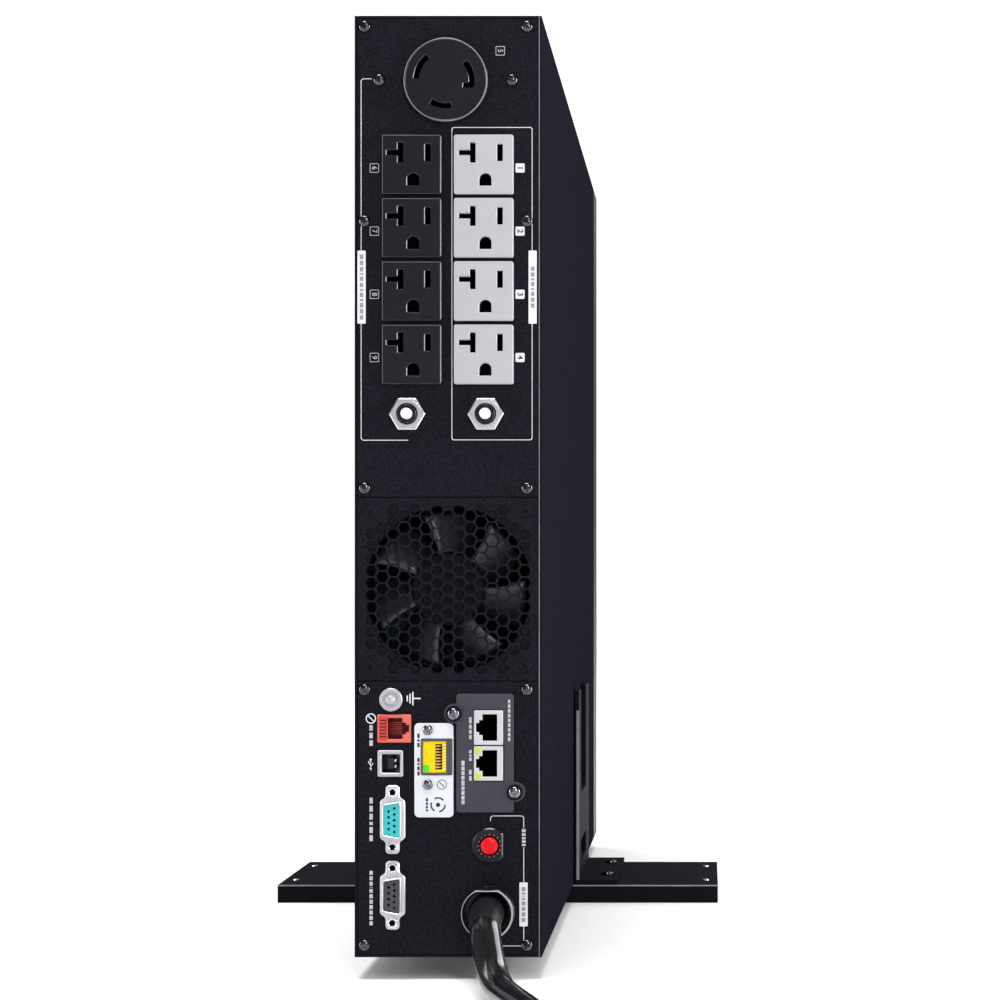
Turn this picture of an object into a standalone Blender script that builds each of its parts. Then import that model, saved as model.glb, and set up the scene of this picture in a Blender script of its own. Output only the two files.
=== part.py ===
"""A 2U rackmount uninterruptible power supply, standing as a tower on its foot.

X runs across the narrow case, -Y points out of the rear panels and +Z is up. The origin is on the
floor, below the middle of the supply without its mains lead. All sizes are in metres.
"""

import math

import bmesh
import bpy
import numpy as np
from mathutils import Matrix, Vector

# Driving dimensions
CASE_WIDTH = 0.086
CASE_HEIGHT = 0.433
CHASSIS_DEPTH = 0.550
BEZEL_DEPTH = 0.050
REAR_REACH = 0.0085
FRONT_REACH = 0.0022
SHEET = 0.0012
GAP = 0.0003
FOOT_HEIGHT = 0.0099
CORD_RADIUS = 0.007

# Levels that follow from them
HALF_WIDTH = CASE_WIDTH / 2
CASE_BOTTOM = FOOT_HEIGHT + GAP
REAR = REAR_REACH - (REAR_REACH + CHASSIS_DEPTH + BEZEL_DEPTH + FRONT_REACH) / 2
PANEL_LEFT = SHEET + GAP - HALF_WIDTH
PANEL_RIGHT = -PANEL_LEFT
PANEL_BACK = -SHEET - GAP
PANEL_SEAM = 0.0002
OUTLET_PANEL_BOTTOM = 0.2116
IO_PANEL_TOP = 0.1270

# Outlets
OUTLET_FACE = 0.0273
OUTLET_BODY = 0.0250
OUTLET_PROUD = 0.0035
OUTLET_COLUMNS = {"black": -0.0165, "grey": 0.0166}
OUTLET_TOP_ROW = 0.3642
OUTLET_PITCH = 0.02905
LOCKING_OUTLET = (-0.0008, 0.4029)
LOCKING_RADIUS = 0.0197

# Breakers
BREAKERS = {"left": -0.0185, "right": 0.0175}
BREAKER_HEIGHT = 0.2497
NUT_ACROSS_FLATS = 0.0144
INPUT_BREAKER = (0.0193, 0.0516)

# Fan and its grille
FAN_HEIGHT = 0.1693
FAN_SIZE = 0.080
FAN_THICKNESS = 0.0254
FAN_BORE = 0.0385
FAN_BLADES = 7
HEX_COLUMNS = 15
HEX_COLUMN_PITCH = 0.005045
HEX_ROW_PITCH = 0.00561
HEX_ACROSS_FLATS = 0.0048

# Signal connectors, each (x, height) of its centre
GROUND_STUD = (-0.0262, 0.1185)
OFF_JACK = (-0.0247, 0.1052)
USB_PORT = (-0.0265, 0.0891)
SERIAL_PORTS = {"serial_port": 0.0634, "dry_contact_port": 0.0286}
SERIAL_X = -0.0254
SERVICE_PLATE = (-0.0154, 0.0644, 0.0026, 0.1077)
SERVICE_JACK = (-0.0052, 0.0922)
CARD_PLATE = (0.0039, 0.0667, 0.0302, 0.1212)
CARD_SLOT = (0.0085, 0.0695, 0.0275, 0.1185)
CARD_LENGTH = 0.110
NETWORK_JACKS = {"network_jack_upper": 0.1057, "network_jack_lower": 0.0892}
NETWORK_JACK_X = 0.0187
THUMBSCREWS = {"thumbscrew_upper": (0.0029, 0.1121), "thumbscrew_lower": (0.0309, 0.0761)}

# Mains lead: distances from the axis of the case, from the rear panels outwards, and above the floor
GLAND = (0.0192, 0.0217)
GLAND_RADIUS = 0.0120
GLAND_LENGTH = 0.015
GLAND_FLOOR = 0.008
LEAD_ROUTE = (
    (0.0192, 0.0083, 0.0319),
    (0.0192, 0.0150, 0.0319),
    (0.0193, 0.0250, 0.0312),
    (0.0199, 0.0350, 0.0290),
    (0.0211, 0.0450, 0.0252),
    (0.0229, 0.0550, 0.0195),
    (0.0253, 0.0650, 0.0138),
    (0.0281, 0.0750, 0.0100),
    (0.0311, 0.0850, 0.0078),
    (0.0341, 0.0950, 0.0071),
    (0.0446, 0.1300, 0.0071),
    (0.0563, 0.1700, 0.0071),
    (0.0671, 0.2100, 0.0071),
    (0.0767, 0.2480, 0.0071),
    (0.0828, 0.2760, 0.0071),
)
TAIL_ROUTE = (
    (0.0625, 0.2563, 0.0216),
    (0.0750, 0.2624, 0.0216),
    (0.0893, 0.2724, 0.0216),
    (0.1016, 0.2847, 0.0217),
    (0.1116, 0.2990, 0.0220),
    (0.1190, 0.3148, 0.0225),
    (0.1235, 0.3316, 0.0230),
    (0.1250, 0.3487, 0.0232),
)
COIL_CENTRE = (-0.005, 0.345)
COIL_INNER = 0.0587
COIL_OUTER = 0.1036
COIL_TOP = 0.0285
PLUG_RADIUS = 0.023
PLUG_START = 0.3498
PLUG_LENGTH = 0.055
BLADE_LENGTH = 0.021

# Tower foot and the brackets that clamp the case to it
FOOT_WIDTH = 0.250
FOOT_DEPTH = 0.122
FOOT_NEAR = 0.285
FOOT_SHEET = 0.0020
FOOT_HOLES = (0.118, 0.025)
BRACKET_SHEET = 0.0023
BRACKET_REACH = 0.025
BRACKET_HEIGHT = 0.110
BRACKET_NOTCH = (0.026, 0.084, 0.050)
BRACKET_WINDOW = (0.011, 0.023)
BRACKET_SLOT = (0.0080, 0.0035, 0.031)

# Front
DISPLAY_HEIGHT = 0.372
DISPLAY_RADIUS = 0.0335
POWER_BUTTON = (0.0, -0.0225)
KEY_BUTTONS = {"scroll_button": (-0.0140, -0.0175), "enter_button": (0.0140, -0.0175)}
KEY_RADIUS = 0.0032
POWER_RADIUS = 0.0048
KEY_WELL = 0.0040
BEZEL_WALL = 0.0025
VENT_SIZE = (0.0036, 0.062)
VENT_COUNT = 26
VENT_PITCH = 0.0095
VENT_FIRST = 0.040

# Battery drawer
TRAY = (-0.0365, 0.0090, 0.0310, 0.2970)
TRAY_DEPTHS = (0.2410, 0.5495)
BATTERY_SIZE = (0.0630, 0.1510, 0.0940)
BATTERY_PITCH = (0.1525, 0.0949)

# Finishes: colour, roughness, metallic
FINISHES = {
    "panel": ((0.017, 0.017, 0.023), 0.55, 0.3),
    "cover": ((0.016, 0.016, 0.022), 0.42, 0.3),
    "stand": ((0.020, 0.020, 0.025), 0.45, 0.3),
    "black plastic": ((0.022, 0.022, 0.027), 0.40, 0.0),
    "grey plastic": ((0.60, 0.59, 0.63), 0.38, 0.0),
    "bezel": ((0.012, 0.012, 0.014), 0.35, 0.0),
    "steel": ((0.62, 0.62, 0.63), 0.25, 1.0),
    "zinc": ((0.55, 0.56, 0.58), 0.35, 1.0),
    "white": ((0.80, 0.80, 0.80), 0.40, 0.0),
    "red": ((0.80, 0.02, 0.03), 0.35, 0.0),
    "orange": ((0.80, 0.07, 0.03), 0.40, 0.0),
    "yellow": ((0.85, 0.65, 0.02), 0.40, 0.0),
    "card": ((0.12, 0.12, 0.13), 0.45, 0.2),
    "board": ((0.02, 0.12, 0.05), 0.50, 0.0),
    "battery": ((0.05, 0.05, 0.055), 0.55, 0.0),
    "iron": ((0.25, 0.22, 0.20), 0.60, 0.8),
    "rubber": ((0.014, 0.014, 0.016), 0.45, 0.0),
}

PLANES = {
    "XY": Matrix.Identity(3),
    "XZ": Matrix(((1, 0, 0), (0, 0, -1), (0, 1, 0))),
    "YZ": Matrix(((0, 0, 1), (1, 0, 0), (0, 1, 0))),
}


# Places

def outward(distance):
    """Y of a point this far out of the rear panels' faces; inside the case it is negative."""
    return REAR - distance


def up(height):
    """Z of a point this far above the bottom of the case."""
    return CASE_BOTTOM + height


# Flat outlines, as lists of two coordinates

def rectangle(low_u, low_v, high_u, high_v):
    return [(low_u, low_v), (high_u, low_v), (high_u, high_v), (low_u, high_v)]


def centred(centre, width, height):
    u, v = centre
    return rectangle(u - width / 2, v - height / 2, u + width / 2, v + height / 2)


def arc(centre, radius, start, end, steps):
    """Points on an arc, between two angles in degrees."""
    u, v = centre
    angles = [math.radians(start + (end - start) * i / steps) for i in range(steps + 1)]
    return [(u + radius * math.cos(a), v + radius * math.sin(a)) for a in angles]


def circle(centre, radius, sides=24):
    return arc(centre, radius, 0, 360, sides)[:-1]


def rounded(low_u, low_v, high_u, high_v, radius, steps=3):
    """A rectangle with round corners."""
    corners = (
        ((high_u - radius, high_v - radius), 0),
        ((low_u + radius, high_v - radius), 90),
        ((low_u + radius, low_v + radius), 180),
        ((high_u - radius, low_v + radius), 270),
    )
    return [point for centre, start in corners for point in arc(centre, radius, start, start + 90, steps)]


def ring_sector(centre, radius, width, start, end, steps=6):
    """A curved slot of this mean radius, between two angles in degrees."""
    outer = arc(centre, radius + width / 2, start, end, steps)
    inner = arc(centre, radius - width / 2, end, start, steps)
    return outer + inner


def moved(outline, centre, turn=1):
    """The outline shifted to a centre; a turn of -1 mirrors it left to right."""
    u, v = centre
    return [(u + turn * a, v + b) for a, b in outline]


# Objects

def clear_scene():
    for obj in list(bpy.data.objects):
        bpy.data.objects.remove(obj)


def new_collection(name, hidden):
    collection = bpy.data.collections.new(name)
    bpy.context.scene.collection.children.link(collection)
    collection.hide_render = hidden
    return collection


def add_object(name, data):
    obj = bpy.data.objects.new(name, data)
    PARTS.objects.link(obj)
    return obj


def finish(obj, kind, smooth=True):
    """Give the object its own material, and shade its round faces smooth."""
    colour, roughness, metallic = FINISHES[kind]
    material = bpy.data.materials.new(obj.name)
    material.use_nodes = True
    shader = material.node_tree.nodes["Principled BSDF"]
    shader.inputs["Base Color"].default_value = (*colour, 1)
    shader.inputs["Roughness"].default_value = roughness
    shader.inputs["Metallic"].default_value = metallic
    obj.data.materials.clear()
    obj.data.materials.append(material)
    if smooth:
        obj.data.shade_smooth()
        obj.data.set_sharp_from_angle(angle=math.radians(35))
    return obj


def as_cutter(obj):
    """Keep the object as a helper that only cuts or joins."""
    PARTS.objects.unlink(obj)
    CUTTERS.objects.link(obj)
    obj.hide_render = True
    obj.display_type = "WIRE"
    return obj


def combine(obj, other, operation):
    modifier = obj.modifiers.new(operation.title(), "BOOLEAN")
    modifier.operation = operation
    modifier.object = as_cutter(other)
    return obj


def cut(obj, *cutters):
    for cutter in cutters:
        combine(obj, cutter, "DIFFERENCE")
    return obj


def join(obj, *others):
    for other in others:
        combine(obj, other, "UNION")
    return obj


def bevel(obj, width, segments=1):
    modifier = obj.modifiers.new("Edges", "BEVEL")
    modifier.width = width
    modifier.segments = segments
    modifier.limit_method = "ANGLE"
    return obj


def evaluated_mesh(obj):
    graph = bpy.context.evaluated_depsgraph_get()
    return bpy.data.meshes.new_from_object(obj.evaluated_get(graph))


def mesh_from_curve(obj):
    """Replace a curve object by a closed mesh with its caps welded on."""
    name = obj.name
    place = obj.matrix_world.copy()
    mesh = evaluated_mesh(obj)
    edit = bmesh.new()
    edit.from_mesh(mesh)
    bmesh.ops.remove_doubles(edit, verts=edit.verts, dist=1e-6)
    bmesh.ops.recalc_face_normals(edit, faces=edit.faces)
    edit.to_mesh(mesh)
    edit.free()
    bpy.data.objects.remove(obj)
    solid = add_object(name, mesh)
    solid.matrix_world = place
    return solid


def box(name, low, high):
    """A box between two opposite corners, in any order."""
    mesh = bpy.data.meshes.new(name)
    low, high = Vector(low), Vector(high)
    size = Vector(abs(value) for value in high - low)
    edit = bmesh.new()
    bmesh.ops.create_cube(edit, size=1)
    bmesh.ops.scale(edit, vec=size, verts=edit.verts)
    edit.to_mesh(mesh)
    edit.free()
    obj = add_object(name, mesh)
    obj.location = (low + high) / 2
    return obj


def rear_box(name, outline, near, far):
    """A box behind or in front of the rear panels, between two outward distances."""
    (low_x, low_z), _, (high_x, high_z), _ = outline
    return box(name, (low_x, outward(near), up(low_z)), (high_x, outward(far), up(high_z)))


def extruded(name, outlines, plane, start, end):
    """A flat outline, with any holes after it, made solid between two levels across its plane."""
    curve = bpy.data.curves.new(name, "CURVE")
    curve.dimensions = "2D"
    curve.fill_mode = "BOTH"
    curve.extrude = abs(end - start) / 2
    for outline in outlines:
        spline = curve.splines.new("POLY")
        spline.points.add(len(outline) - 1)
        for point, (u, v) in zip(spline.points, outline):
            point.co = (u, v, 0, 1)
        spline.use_cyclic_u = True
    obj = add_object(name, curve)
    turn = PLANES[plane]
    level = turn @ Vector((0, 0, 1))
    across = Vector(abs(value) for value in level) * (start + end) / 2
    obj.matrix_world = Matrix.Translation(across) @ turn.to_4x4()
    bpy.context.view_layer.update()
    return mesh_from_curve(obj)


def rear_plate(name, outlines, near, far):
    """An outline in x and height above the case's bottom, solid between two outward distances."""
    raised = [[(x, up(height)) for x, height in outline] for outline in outlines]
    return extruded(name, raised, "XZ", outward(near), outward(far))


def turned(name, profile, centre, y=REAR, sides=32, facing=-1):
    """A profile of (radius, distance) spun about an axis along Y; facing -1 points out of the rear."""
    mesh = bpy.data.meshes.new(name)
    edit = bmesh.new()
    points = [edit.verts.new((radius, 0, distance)) for radius, distance in profile]
    for first, second in zip(points, points[1:]):
        edit.edges.new((first, second))
    edit.to_mesh(mesh)
    edit.free()
    obj = add_object(name, mesh)
    x, z = centre
    obj.location = (x, y, z)
    obj.rotation_euler = (-facing * math.pi / 2, 0, 0)
    spin = obj.modifiers.new("Spin", "SCREW")
    spin.steps = sides
    spin.render_steps = sides
    spin.use_merge_vertices = True
    spin.merge_threshold = 1e-5
    return obj


def rear_turned(name, profile, centre, sides=32):
    x, height = centre
    return turned(name, profile, (x, up(height)), sides=sides)


def smooth_route(route, spacing):
    """Points about this far apart on the smooth cubic curve through a route's own points."""
    points = np.array([(x, outward(distance), z) for x, distance, z in route])
    steps = np.linalg.norm(np.diff(points, axis=0), axis=1)
    along = np.concatenate([[0], np.cumsum(steps)])
    count = len(points)
    system = np.zeros((count, count))
    system[0, 0] = system[-1, -1] = 1
    right = np.zeros_like(points)
    for i in range(1, count - 1):
        before, after = steps[i - 1], steps[i]
        system[i, i - 1 : i + 2] = before, 2 * (before + after), after
        rise = (points[i + 1] - points[i]) / after - (points[i] - points[i - 1]) / before
        right[i] = 6 * rise
    bend = np.linalg.solve(system, right)
    result = []
    for s in np.linspace(0, along[-1], max(2, round(along[-1] / spacing)) + 1):
        i = min(int(np.searchsorted(along, s, side="right")) - 1, count - 2)
        width = steps[i]
        a, b = (along[i + 1] - s) / width, (s - along[i]) / width
        curved = (a**3 - a) * bend[i] + (b**3 - b) * bend[i + 1]
        result.append(a * points[i] + b * points[i + 1] + curved * width**2 / 6)
    return result


def tube(name, route, spacing):
    """A round cord along a route."""
    curve = bpy.data.curves.new(name, "CURVE")
    curve.dimensions = "3D"
    curve.bevel_depth = CORD_RADIUS
    curve.bevel_resolution = 2
    curve.use_fill_caps = True
    points = smooth_route(route, spacing)
    spline = curve.splines.new("POLY")
    spline.points.add(len(points) - 1)
    for point, place in zip(spline.points, points):
        point.co = (*place, 1)
    return mesh_from_curve(add_object(name, curve))


# Chassis

def make_shell(name, low, high, open_sides, thickness):
    """A box of sheet metal with some sides left out; its outer faces lie on the given box."""
    shell = box(name, low, high)
    edit = bmesh.new()
    edit.from_mesh(shell.data)
    away = [Vector(side) for side in open_sides]
    gone = [face for face in edit.faces if any(face.normal.dot(side) > 0.9 for side in away)]
    bmesh.ops.delete(edit, geom=gone, context="FACES")
    edit.to_mesh(shell.data)
    edit.free()
    solidify = shell.modifiers.new("Sheet", "SOLIDIFY")
    solidify.thickness = thickness
    solidify.offset = -1
    solidify.use_even_offset = True
    return shell


def make_chassis():
    front = outward(-CHASSIS_DEPTH)
    top = up(CASE_HEIGHT)
    cover = make_shell(
        "cover",
        (SHEET + GAP - HALF_WIDTH, REAR, CASE_BOTTOM),
        (HALF_WIDTH, front, top),
        [(-1, 0, 0), (0, -1, 0), (0, 1, 0)],
        SHEET,
    )
    finish(cover, "cover")
    inset = SHEET + GAP
    pan = make_shell(
        "chassis_pan",
        (-HALF_WIDTH, REAR + inset, CASE_BOTTOM + inset),
        (-HALF_WIDTH + 0.016, front - inset - SHEET, top - inset),
        [(1, 0, 0), (0, -1, 0), (0, 1, 0)],
        SHEET,
    )
    floor = box("pan_floor", (-HALF_WIDTH, REAR, CASE_BOTTOM), (-HALF_WIDTH + SHEET, front, top))
    join(pan, floor)
    finish(pan, "cover")


def make_rear_panels():
    def outline(low, high):
        return rectangle(PANEL_LEFT, low, PANEL_RIGHT, high)

    edge = SHEET + GAP
    outlet_holes = [circle(LOCKING_OUTLET, 0.0178)]
    for x in OUTLET_COLUMNS.values():
        for row in range(4):
            centre = (x, OUTLET_TOP_ROW - row * OUTLET_PITCH)
            outlet_holes.append(centred(centre, OUTLET_BODY + 2 * GAP, OUTLET_BODY + 2 * GAP))
    outlet_holes += [circle((x, BREAKER_HEIGHT), 0.0048, 16) for x in BREAKERS.values()]
    upper = outline(OUTLET_PANEL_BOTTOM + PANEL_SEAM, CASE_HEIGHT - edge)
    finish(rear_plate("rear_outlet_panel", [upper, *outlet_holes], 0, -SHEET), "panel")

    middle = outline(IO_PANEL_TOP + PANEL_SEAM, OUTLET_PANEL_BOTTOM - PANEL_SEAM)
    finish(rear_plate("rear_fan_panel", [middle, *grille_holes()], 0, -SHEET), "panel", False)

    lower = outline(edge, IO_PANEL_TOP - PANEL_SEAM)
    finish(rear_plate("rear_io_panel", [lower, *io_holes()], 0, -SHEET), "panel")


def grille_holes():
    """Hexagons in staggered columns, with the outer columns shortened to round the corners off."""
    corner = HEX_ACROSS_FLATS / math.sqrt(3)
    holes = []
    for column in range(HEX_COLUMNS):
        from_edge = min(column, HEX_COLUMNS - 1 - column)
        rows = {0: 10, 1: 11}.get(from_edge, 14 - from_edge % 2)
        x = (column - (HEX_COLUMNS - 1) / 2) * HEX_COLUMN_PITCH
        for row in range(rows):
            height = FAN_HEIGHT + (row - (rows - 1) / 2) * HEX_ROW_PITCH
            holes.append(circle((x, height), corner, 6))
    return holes


def io_holes():
    clear = 2 * GAP
    holes = [
        circle(GROUND_STUD, 0.0028, 12),
        centred(OFF_JACK, 0.0155 + clear, 0.0129 + clear),
        centred(USB_PORT, 0.0117 + clear, 0.0122 + clear),
        centred(SERVICE_JACK, 0.0139 + clear, 0.0162 + clear),
        rectangle(*CARD_SLOT),
        circle(INPUT_BREAKER, 0.0063),
        circle(GLAND, 0.0093),
    ]
    holes += [centred((SERIAL_X, height), 0.0092, 0.0180) for height in SERIAL_PORTS.values()]
    holes += [circle(centre, 0.0017, 8) for centre in THUMBSCREWS.values()]
    return holes


def make_front_panel():
    low_x, low, high_x, high = TRAY
    clear = 0.0006
    bay = rectangle(low_x - clear, low - clear, high_x + clear, high + clear)
    cable = circle((0, DISPLAY_HEIGHT), 0.018)
    edge = SHEET + GAP
    sheet = rectangle(PANEL_LEFT, edge, PANEL_RIGHT, CASE_HEIGHT - edge)
    depth = -CHASSIS_DEPTH
    finish(rear_plate("front_panel", [sheet, bay, cable], depth + SHEET, depth), "panel")


# Outlets and breakers

def outlet_slots():
    """The T slot, straight slot and earth hole of a 20 A outlet, about its centre."""
    blade_height = 0.0054
    tee_x, straight_x = -0.0050, 0.0075
    tee = [
        (tee_x + 0.0013, blade_height + 0.0046),
        (tee_x - 0.0013, blade_height + 0.0046),
        (tee_x - 0.0013, blade_height + 0.0012),
        (tee_x - 0.0064, blade_height + 0.0012),
        (tee_x - 0.0064, blade_height - 0.0012),
        (tee_x - 0.0013, blade_height - 0.0012),
        (tee_x - 0.0013, blade_height - 0.0046),
        (tee_x + 0.0013, blade_height - 0.0046),
    ]
    straight = centred((straight_x, blade_height), 0.0028, 0.0079)
    earth = arc((0.0008, -0.0068), 0.0028, 0, 180, 8) + [(-0.0020, -0.0098), (0.0036, -0.0098)]
    return [tee, straight, earth]


def make_outlets():
    """Eight square outlets that share one mesh, modelled about the origin."""
    half, body = OUTLET_FACE / 2, OUTLET_BODY / 2
    model = box("outlet_model", (-half, -OUTLET_PROUD, -half), (half, -GAP, half))
    bevel(model, 0.0006)
    join(model, box("outlet_body", (-body, -0.001, -body), (body, 0.020, body)))
    for outline in outlet_slots():
        cutter = extruded("outlet_slot", [outline], "XZ", -OUTLET_PROUD - 0.002, 0.009)
        cut(model, cutter)
    mesh = evaluated_mesh(model)
    mesh.transform(model.matrix_world)
    as_cutter(model)
    for column, first in (("grey", 1), ("black", 6)):
        for row in range(4):
            outlet = add_object(f"outlet_{first + row}", mesh.copy())
            height = OUTLET_TOP_ROW - row * OUTLET_PITCH
            outlet.location = (OUTLET_COLUMNS[column], REAR, up(height))
            finish(outlet, f"{column} plastic")


def locking_slots(width):
    """The three curved blade shapes of a locking connector, about its centre."""
    live = ring_sector((0, 0), 0.0135, width, 127, 178)
    neutral = ring_sector((0, 0), 0.0122, width, -15, 45)
    earth = ring_sector((0, 0), 0.0125, width, 233, 280)
    return [live, neutral, earth]


def make_locking_outlet():
    rim = LOCKING_RADIUS
    profile = [
        (0, 0.0040), (rim - 0.0006, 0.0040), (rim, 0.0034), (rim, GAP),
        (0.0175, GAP), (0.0175, -0.022), (0, -0.022),
    ]
    outlet = rear_turned("locking_outlet", profile, LOCKING_OUTLET, 40)
    for outline in locking_slots(0.0026):
        cutter = rear_plate("locking_slot", [moved(outline, LOCKING_OUTLET)], 0.006, -0.014)
        cut(outlet, cutter)
    finish(outlet, "black plastic")


def make_breakers():
    """Two push-button breakers, each held by a hexagon nut."""
    body = [
        (0, -0.005), (0.0029, -0.005), (0.0029, 0.0053), (0.0045, 0.0053),
        (0.0045, -0.0016), (0.0075, -0.0016), (0.0075, -0.026), (0, -0.026),
    ]
    button = [(0, REAR_REACH), (0.0021, REAR_REACH), (0.0026, 0.0080), (0.0026, -0.004), (0, -0.004)]
    for side, x in BREAKERS.items():
        centre = (x, BREAKER_HEIGHT)
        finish(rear_turned(f"circuit_breaker_{side}", body, centre, 24), "black plastic")
        finish(rear_turned(f"breaker_button_{side}", button, centre, 20), "white")
        hexagon = circle(centre, NUT_ACROSS_FLATS / math.sqrt(3), 6)
        hole = circle(centre, 0.0048)
        nut = rear_plate(f"breaker_nut_{side}", [hexagon, hole], 0.0043, GAP)
        finish(nut, "zinc", False)


def make_input_breaker():
    body = [
        (0, -0.006), (0.0043, -0.006), (0.0043, 0.0030), (0.0076, 0.0030), (0.0081, 0.0025),
        (0.0081, GAP), (0.0060, GAP), (0.0060, -0.020), (0, -0.020),
    ]
    breaker = rear_turned("input_breaker", body, INPUT_BREAKER)
    x, height = INPUT_BREAKER
    flat = rectangle(x + 0.0062, height - 0.010, x + 0.012, height + 0.010)
    cut(breaker, rear_box("breaker_flat", flat, -0.030, 0.006))
    finish(breaker, "black plastic")
    button = [(0, 0.0062), (0.0034, 0.0062), (0.0039, 0.0056), (0.0039, -0.005), (0, -0.005)]
    finish(rear_turned("reset_button", button, INPUT_BREAKER), "red")


# Fan

def make_fan():
    centre = (0, FAN_HEIGHT)
    near, far = PANEL_BACK, PANEL_BACK - FAN_THICKNESS
    half = FAN_SIZE / 2
    square = rounded(-half, FAN_HEIGHT - half, half, FAN_HEIGHT + half, 0.004)
    frame = rear_plate("fan_frame", [square, circle(centre, FAN_BORE, 40)], near, far)
    hub = rear_plate("fan_mount", [circle(centre, 0.018)], far + 0.0030, far + 0.0002)
    join(frame, hub)
    for width, height in ((2 * FAN_BORE + 0.001, 0.004), (0.004, 2 * FAN_BORE + 0.001)):
        strut = rear_box("fan_strut", centred(centre, width, height), far + 0.0028, far + 0.0005)
        join(frame, strut)
    finish(frame, "black plastic")

    turn_front, turn_back = near - 0.0030, far + 0.0050
    profile = [
        (0, turn_front), (0.0155, turn_front), (0.017, turn_front - 0.0015), (0.017, turn_back), (0, turn_back),
    ]
    rotor = rear_turned("fan_rotor", profile, centre, 28)
    middle = (turn_front + turn_back) / 2
    for blade in range(FAN_BLADES):
        vane = box("fan_blade", (0.0160, -0.0125, -0.0008), (0.0362, 0.0125, 0.0008))
        vane.data.transform(Matrix.Translation((0.0261, 0, 0)))
        spin = Matrix.Rotation(2 * math.pi * blade / FAN_BLADES, 4, "Y")
        pitch = Matrix.Rotation(math.radians(-52), 4, "X")
        place = Matrix.Translation((0, outward(middle), up(FAN_HEIGHT)))
        vane.matrix_world = place @ spin @ pitch
        join(rotor, vane)
    finish(rotor, "black plastic")


# Signal connectors

def modular_opening(centre, width, side):
    """The stepped opening of a modular jack; its latch notch points to the given side in x."""
    half = width / 2
    outline = [
        (-0.0040, -half), (0.0028, -half), (0.0028, -half * 0.56), (0.0044, -half * 0.56),
        (0.0044, -half * 0.34), (0.0058, -half * 0.34), (0.0058, half * 0.34), (0.0044, half * 0.34),
        (0.0044, half * 0.56), (0.0028, half * 0.56), (0.0028, half), (-0.0040, half),
    ]
    return moved(outline, centre, side)


def make_modular_jack(name, centre, size, opening, side, proud, kind):
    width, height = size
    jack = rear_box(name, centred(centre, width, height), -0.0150, proud)
    mouth = modular_opening(centre, opening, side)
    cut(jack, rear_plate(f"{name}_mouth", [mouth], 0.004, -0.012))
    finish(jack, kind, False)


def make_ground_stud():
    profile = [
        (0, 0.0042), (0.0016, 0.0040), (0.0027, 0.0032), (0.0029, 0.0020), (0.0036, 0.0019),
        (0.0046, 0.0013), (0.0053, 0.0012), (0.0053, GAP), (0.0025, GAP), (0.0025, -0.009), (0, -0.009),
    ]
    finish(rear_turned("ground_stud", profile, GROUND_STUD, 20), "steel")


def make_usb_port():
    port = rear_box("usb_port", centred(USB_PORT, 0.0117, 0.0122), -0.0160, 0.0008)
    x, height = USB_PORT
    left, right, low, high, chamfer = x - 0.0037, x + 0.0041, height - 0.0041, height + 0.0041, 0.0023
    mouth = [
        (left, low), (right - chamfer, low), (right, low + chamfer),
        (right, high - chamfer), (right - chamfer, high), (left, high),
    ]
    cut(port, rear_plate("usb_mouth", [mouth], 0.003, -0.011))
    tongue = centred((x + 0.0002, height), 0.0032, 0.0050)
    join(port, rear_box("usb_tongue", tongue, -0.0120, -0.0020))
    finish(port, "steel", False)


def serial_flange():
    """The flange of a nine-way connector: a rounded body with a screw lug at each end."""
    lug, lug_end, body, body_end = 0.0032, 0.0158, 0.0058, 0.0104
    right = [(body, 0), (body, body_end - 0.0026), (body - 0.0009, body_end - 0.0009), (lug, body_end)]
    lug_top = [(lug, lug_end - 0.0016), (lug - 0.0016, lug_end)]
    quarter = right + lug_top
    upper = quarter + [(-x, z) for x, z in reversed(quarter)]
    lower = [(x, -z) for x, z in reversed(upper[1:-1])]
    return upper + lower


def serial_shell(inset):
    """The D-shaped outline, longer on its right side, drawn in by an inset."""
    half_width, long_half, short_half = 0.0044 - inset, 0.0087 - inset, 0.0073 - inset
    round_off = 0.0016
    return [
        (half_width, -long_half + round_off), (half_width, long_half - round_off),
        (half_width - round_off, long_half - 0.0002), (-half_width + round_off, short_half),
        (-half_width, short_half - round_off), (-half_width, -short_half + round_off),
        (-half_width + round_off, -short_half), (half_width - round_off, -long_half + 0.0002),
    ]


def make_serial_ports():
    for name, height in SERIAL_PORTS.items():
        centre = (SERIAL_X, height)
        port = rear_plate(name, [moved(serial_flange(), centre)], 0.0015, GAP)
        join(port, rear_plate("serial_raise", [moved(serial_shell(0), centre)], 0.0060, 0.0008))
        join(port, rear_box("serial_back", centred(centre, 0.0080, 0.0160), -0.0100, 0.0010))
        cut(port, rear_plate("serial_recess", [moved(serial_shell(0.0005), centre)], 0.0070, 0.0048))
        finish(port, "steel")


def make_service_card():
    plate = rounded(*SERVICE_PLATE, 0.0020)
    hole = centred(SERVICE_JACK, 0.0139 + 2 * GAP, 0.0162 + 2 * GAP)
    finish(rear_plate("service_plate", [plate, hole], 0.0012, GAP), "white")
    make_modular_jack("service_jack", SERVICE_JACK, (0.0139, 0.0162), 0.0123, -1, 0.0018, "yellow")


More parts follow.
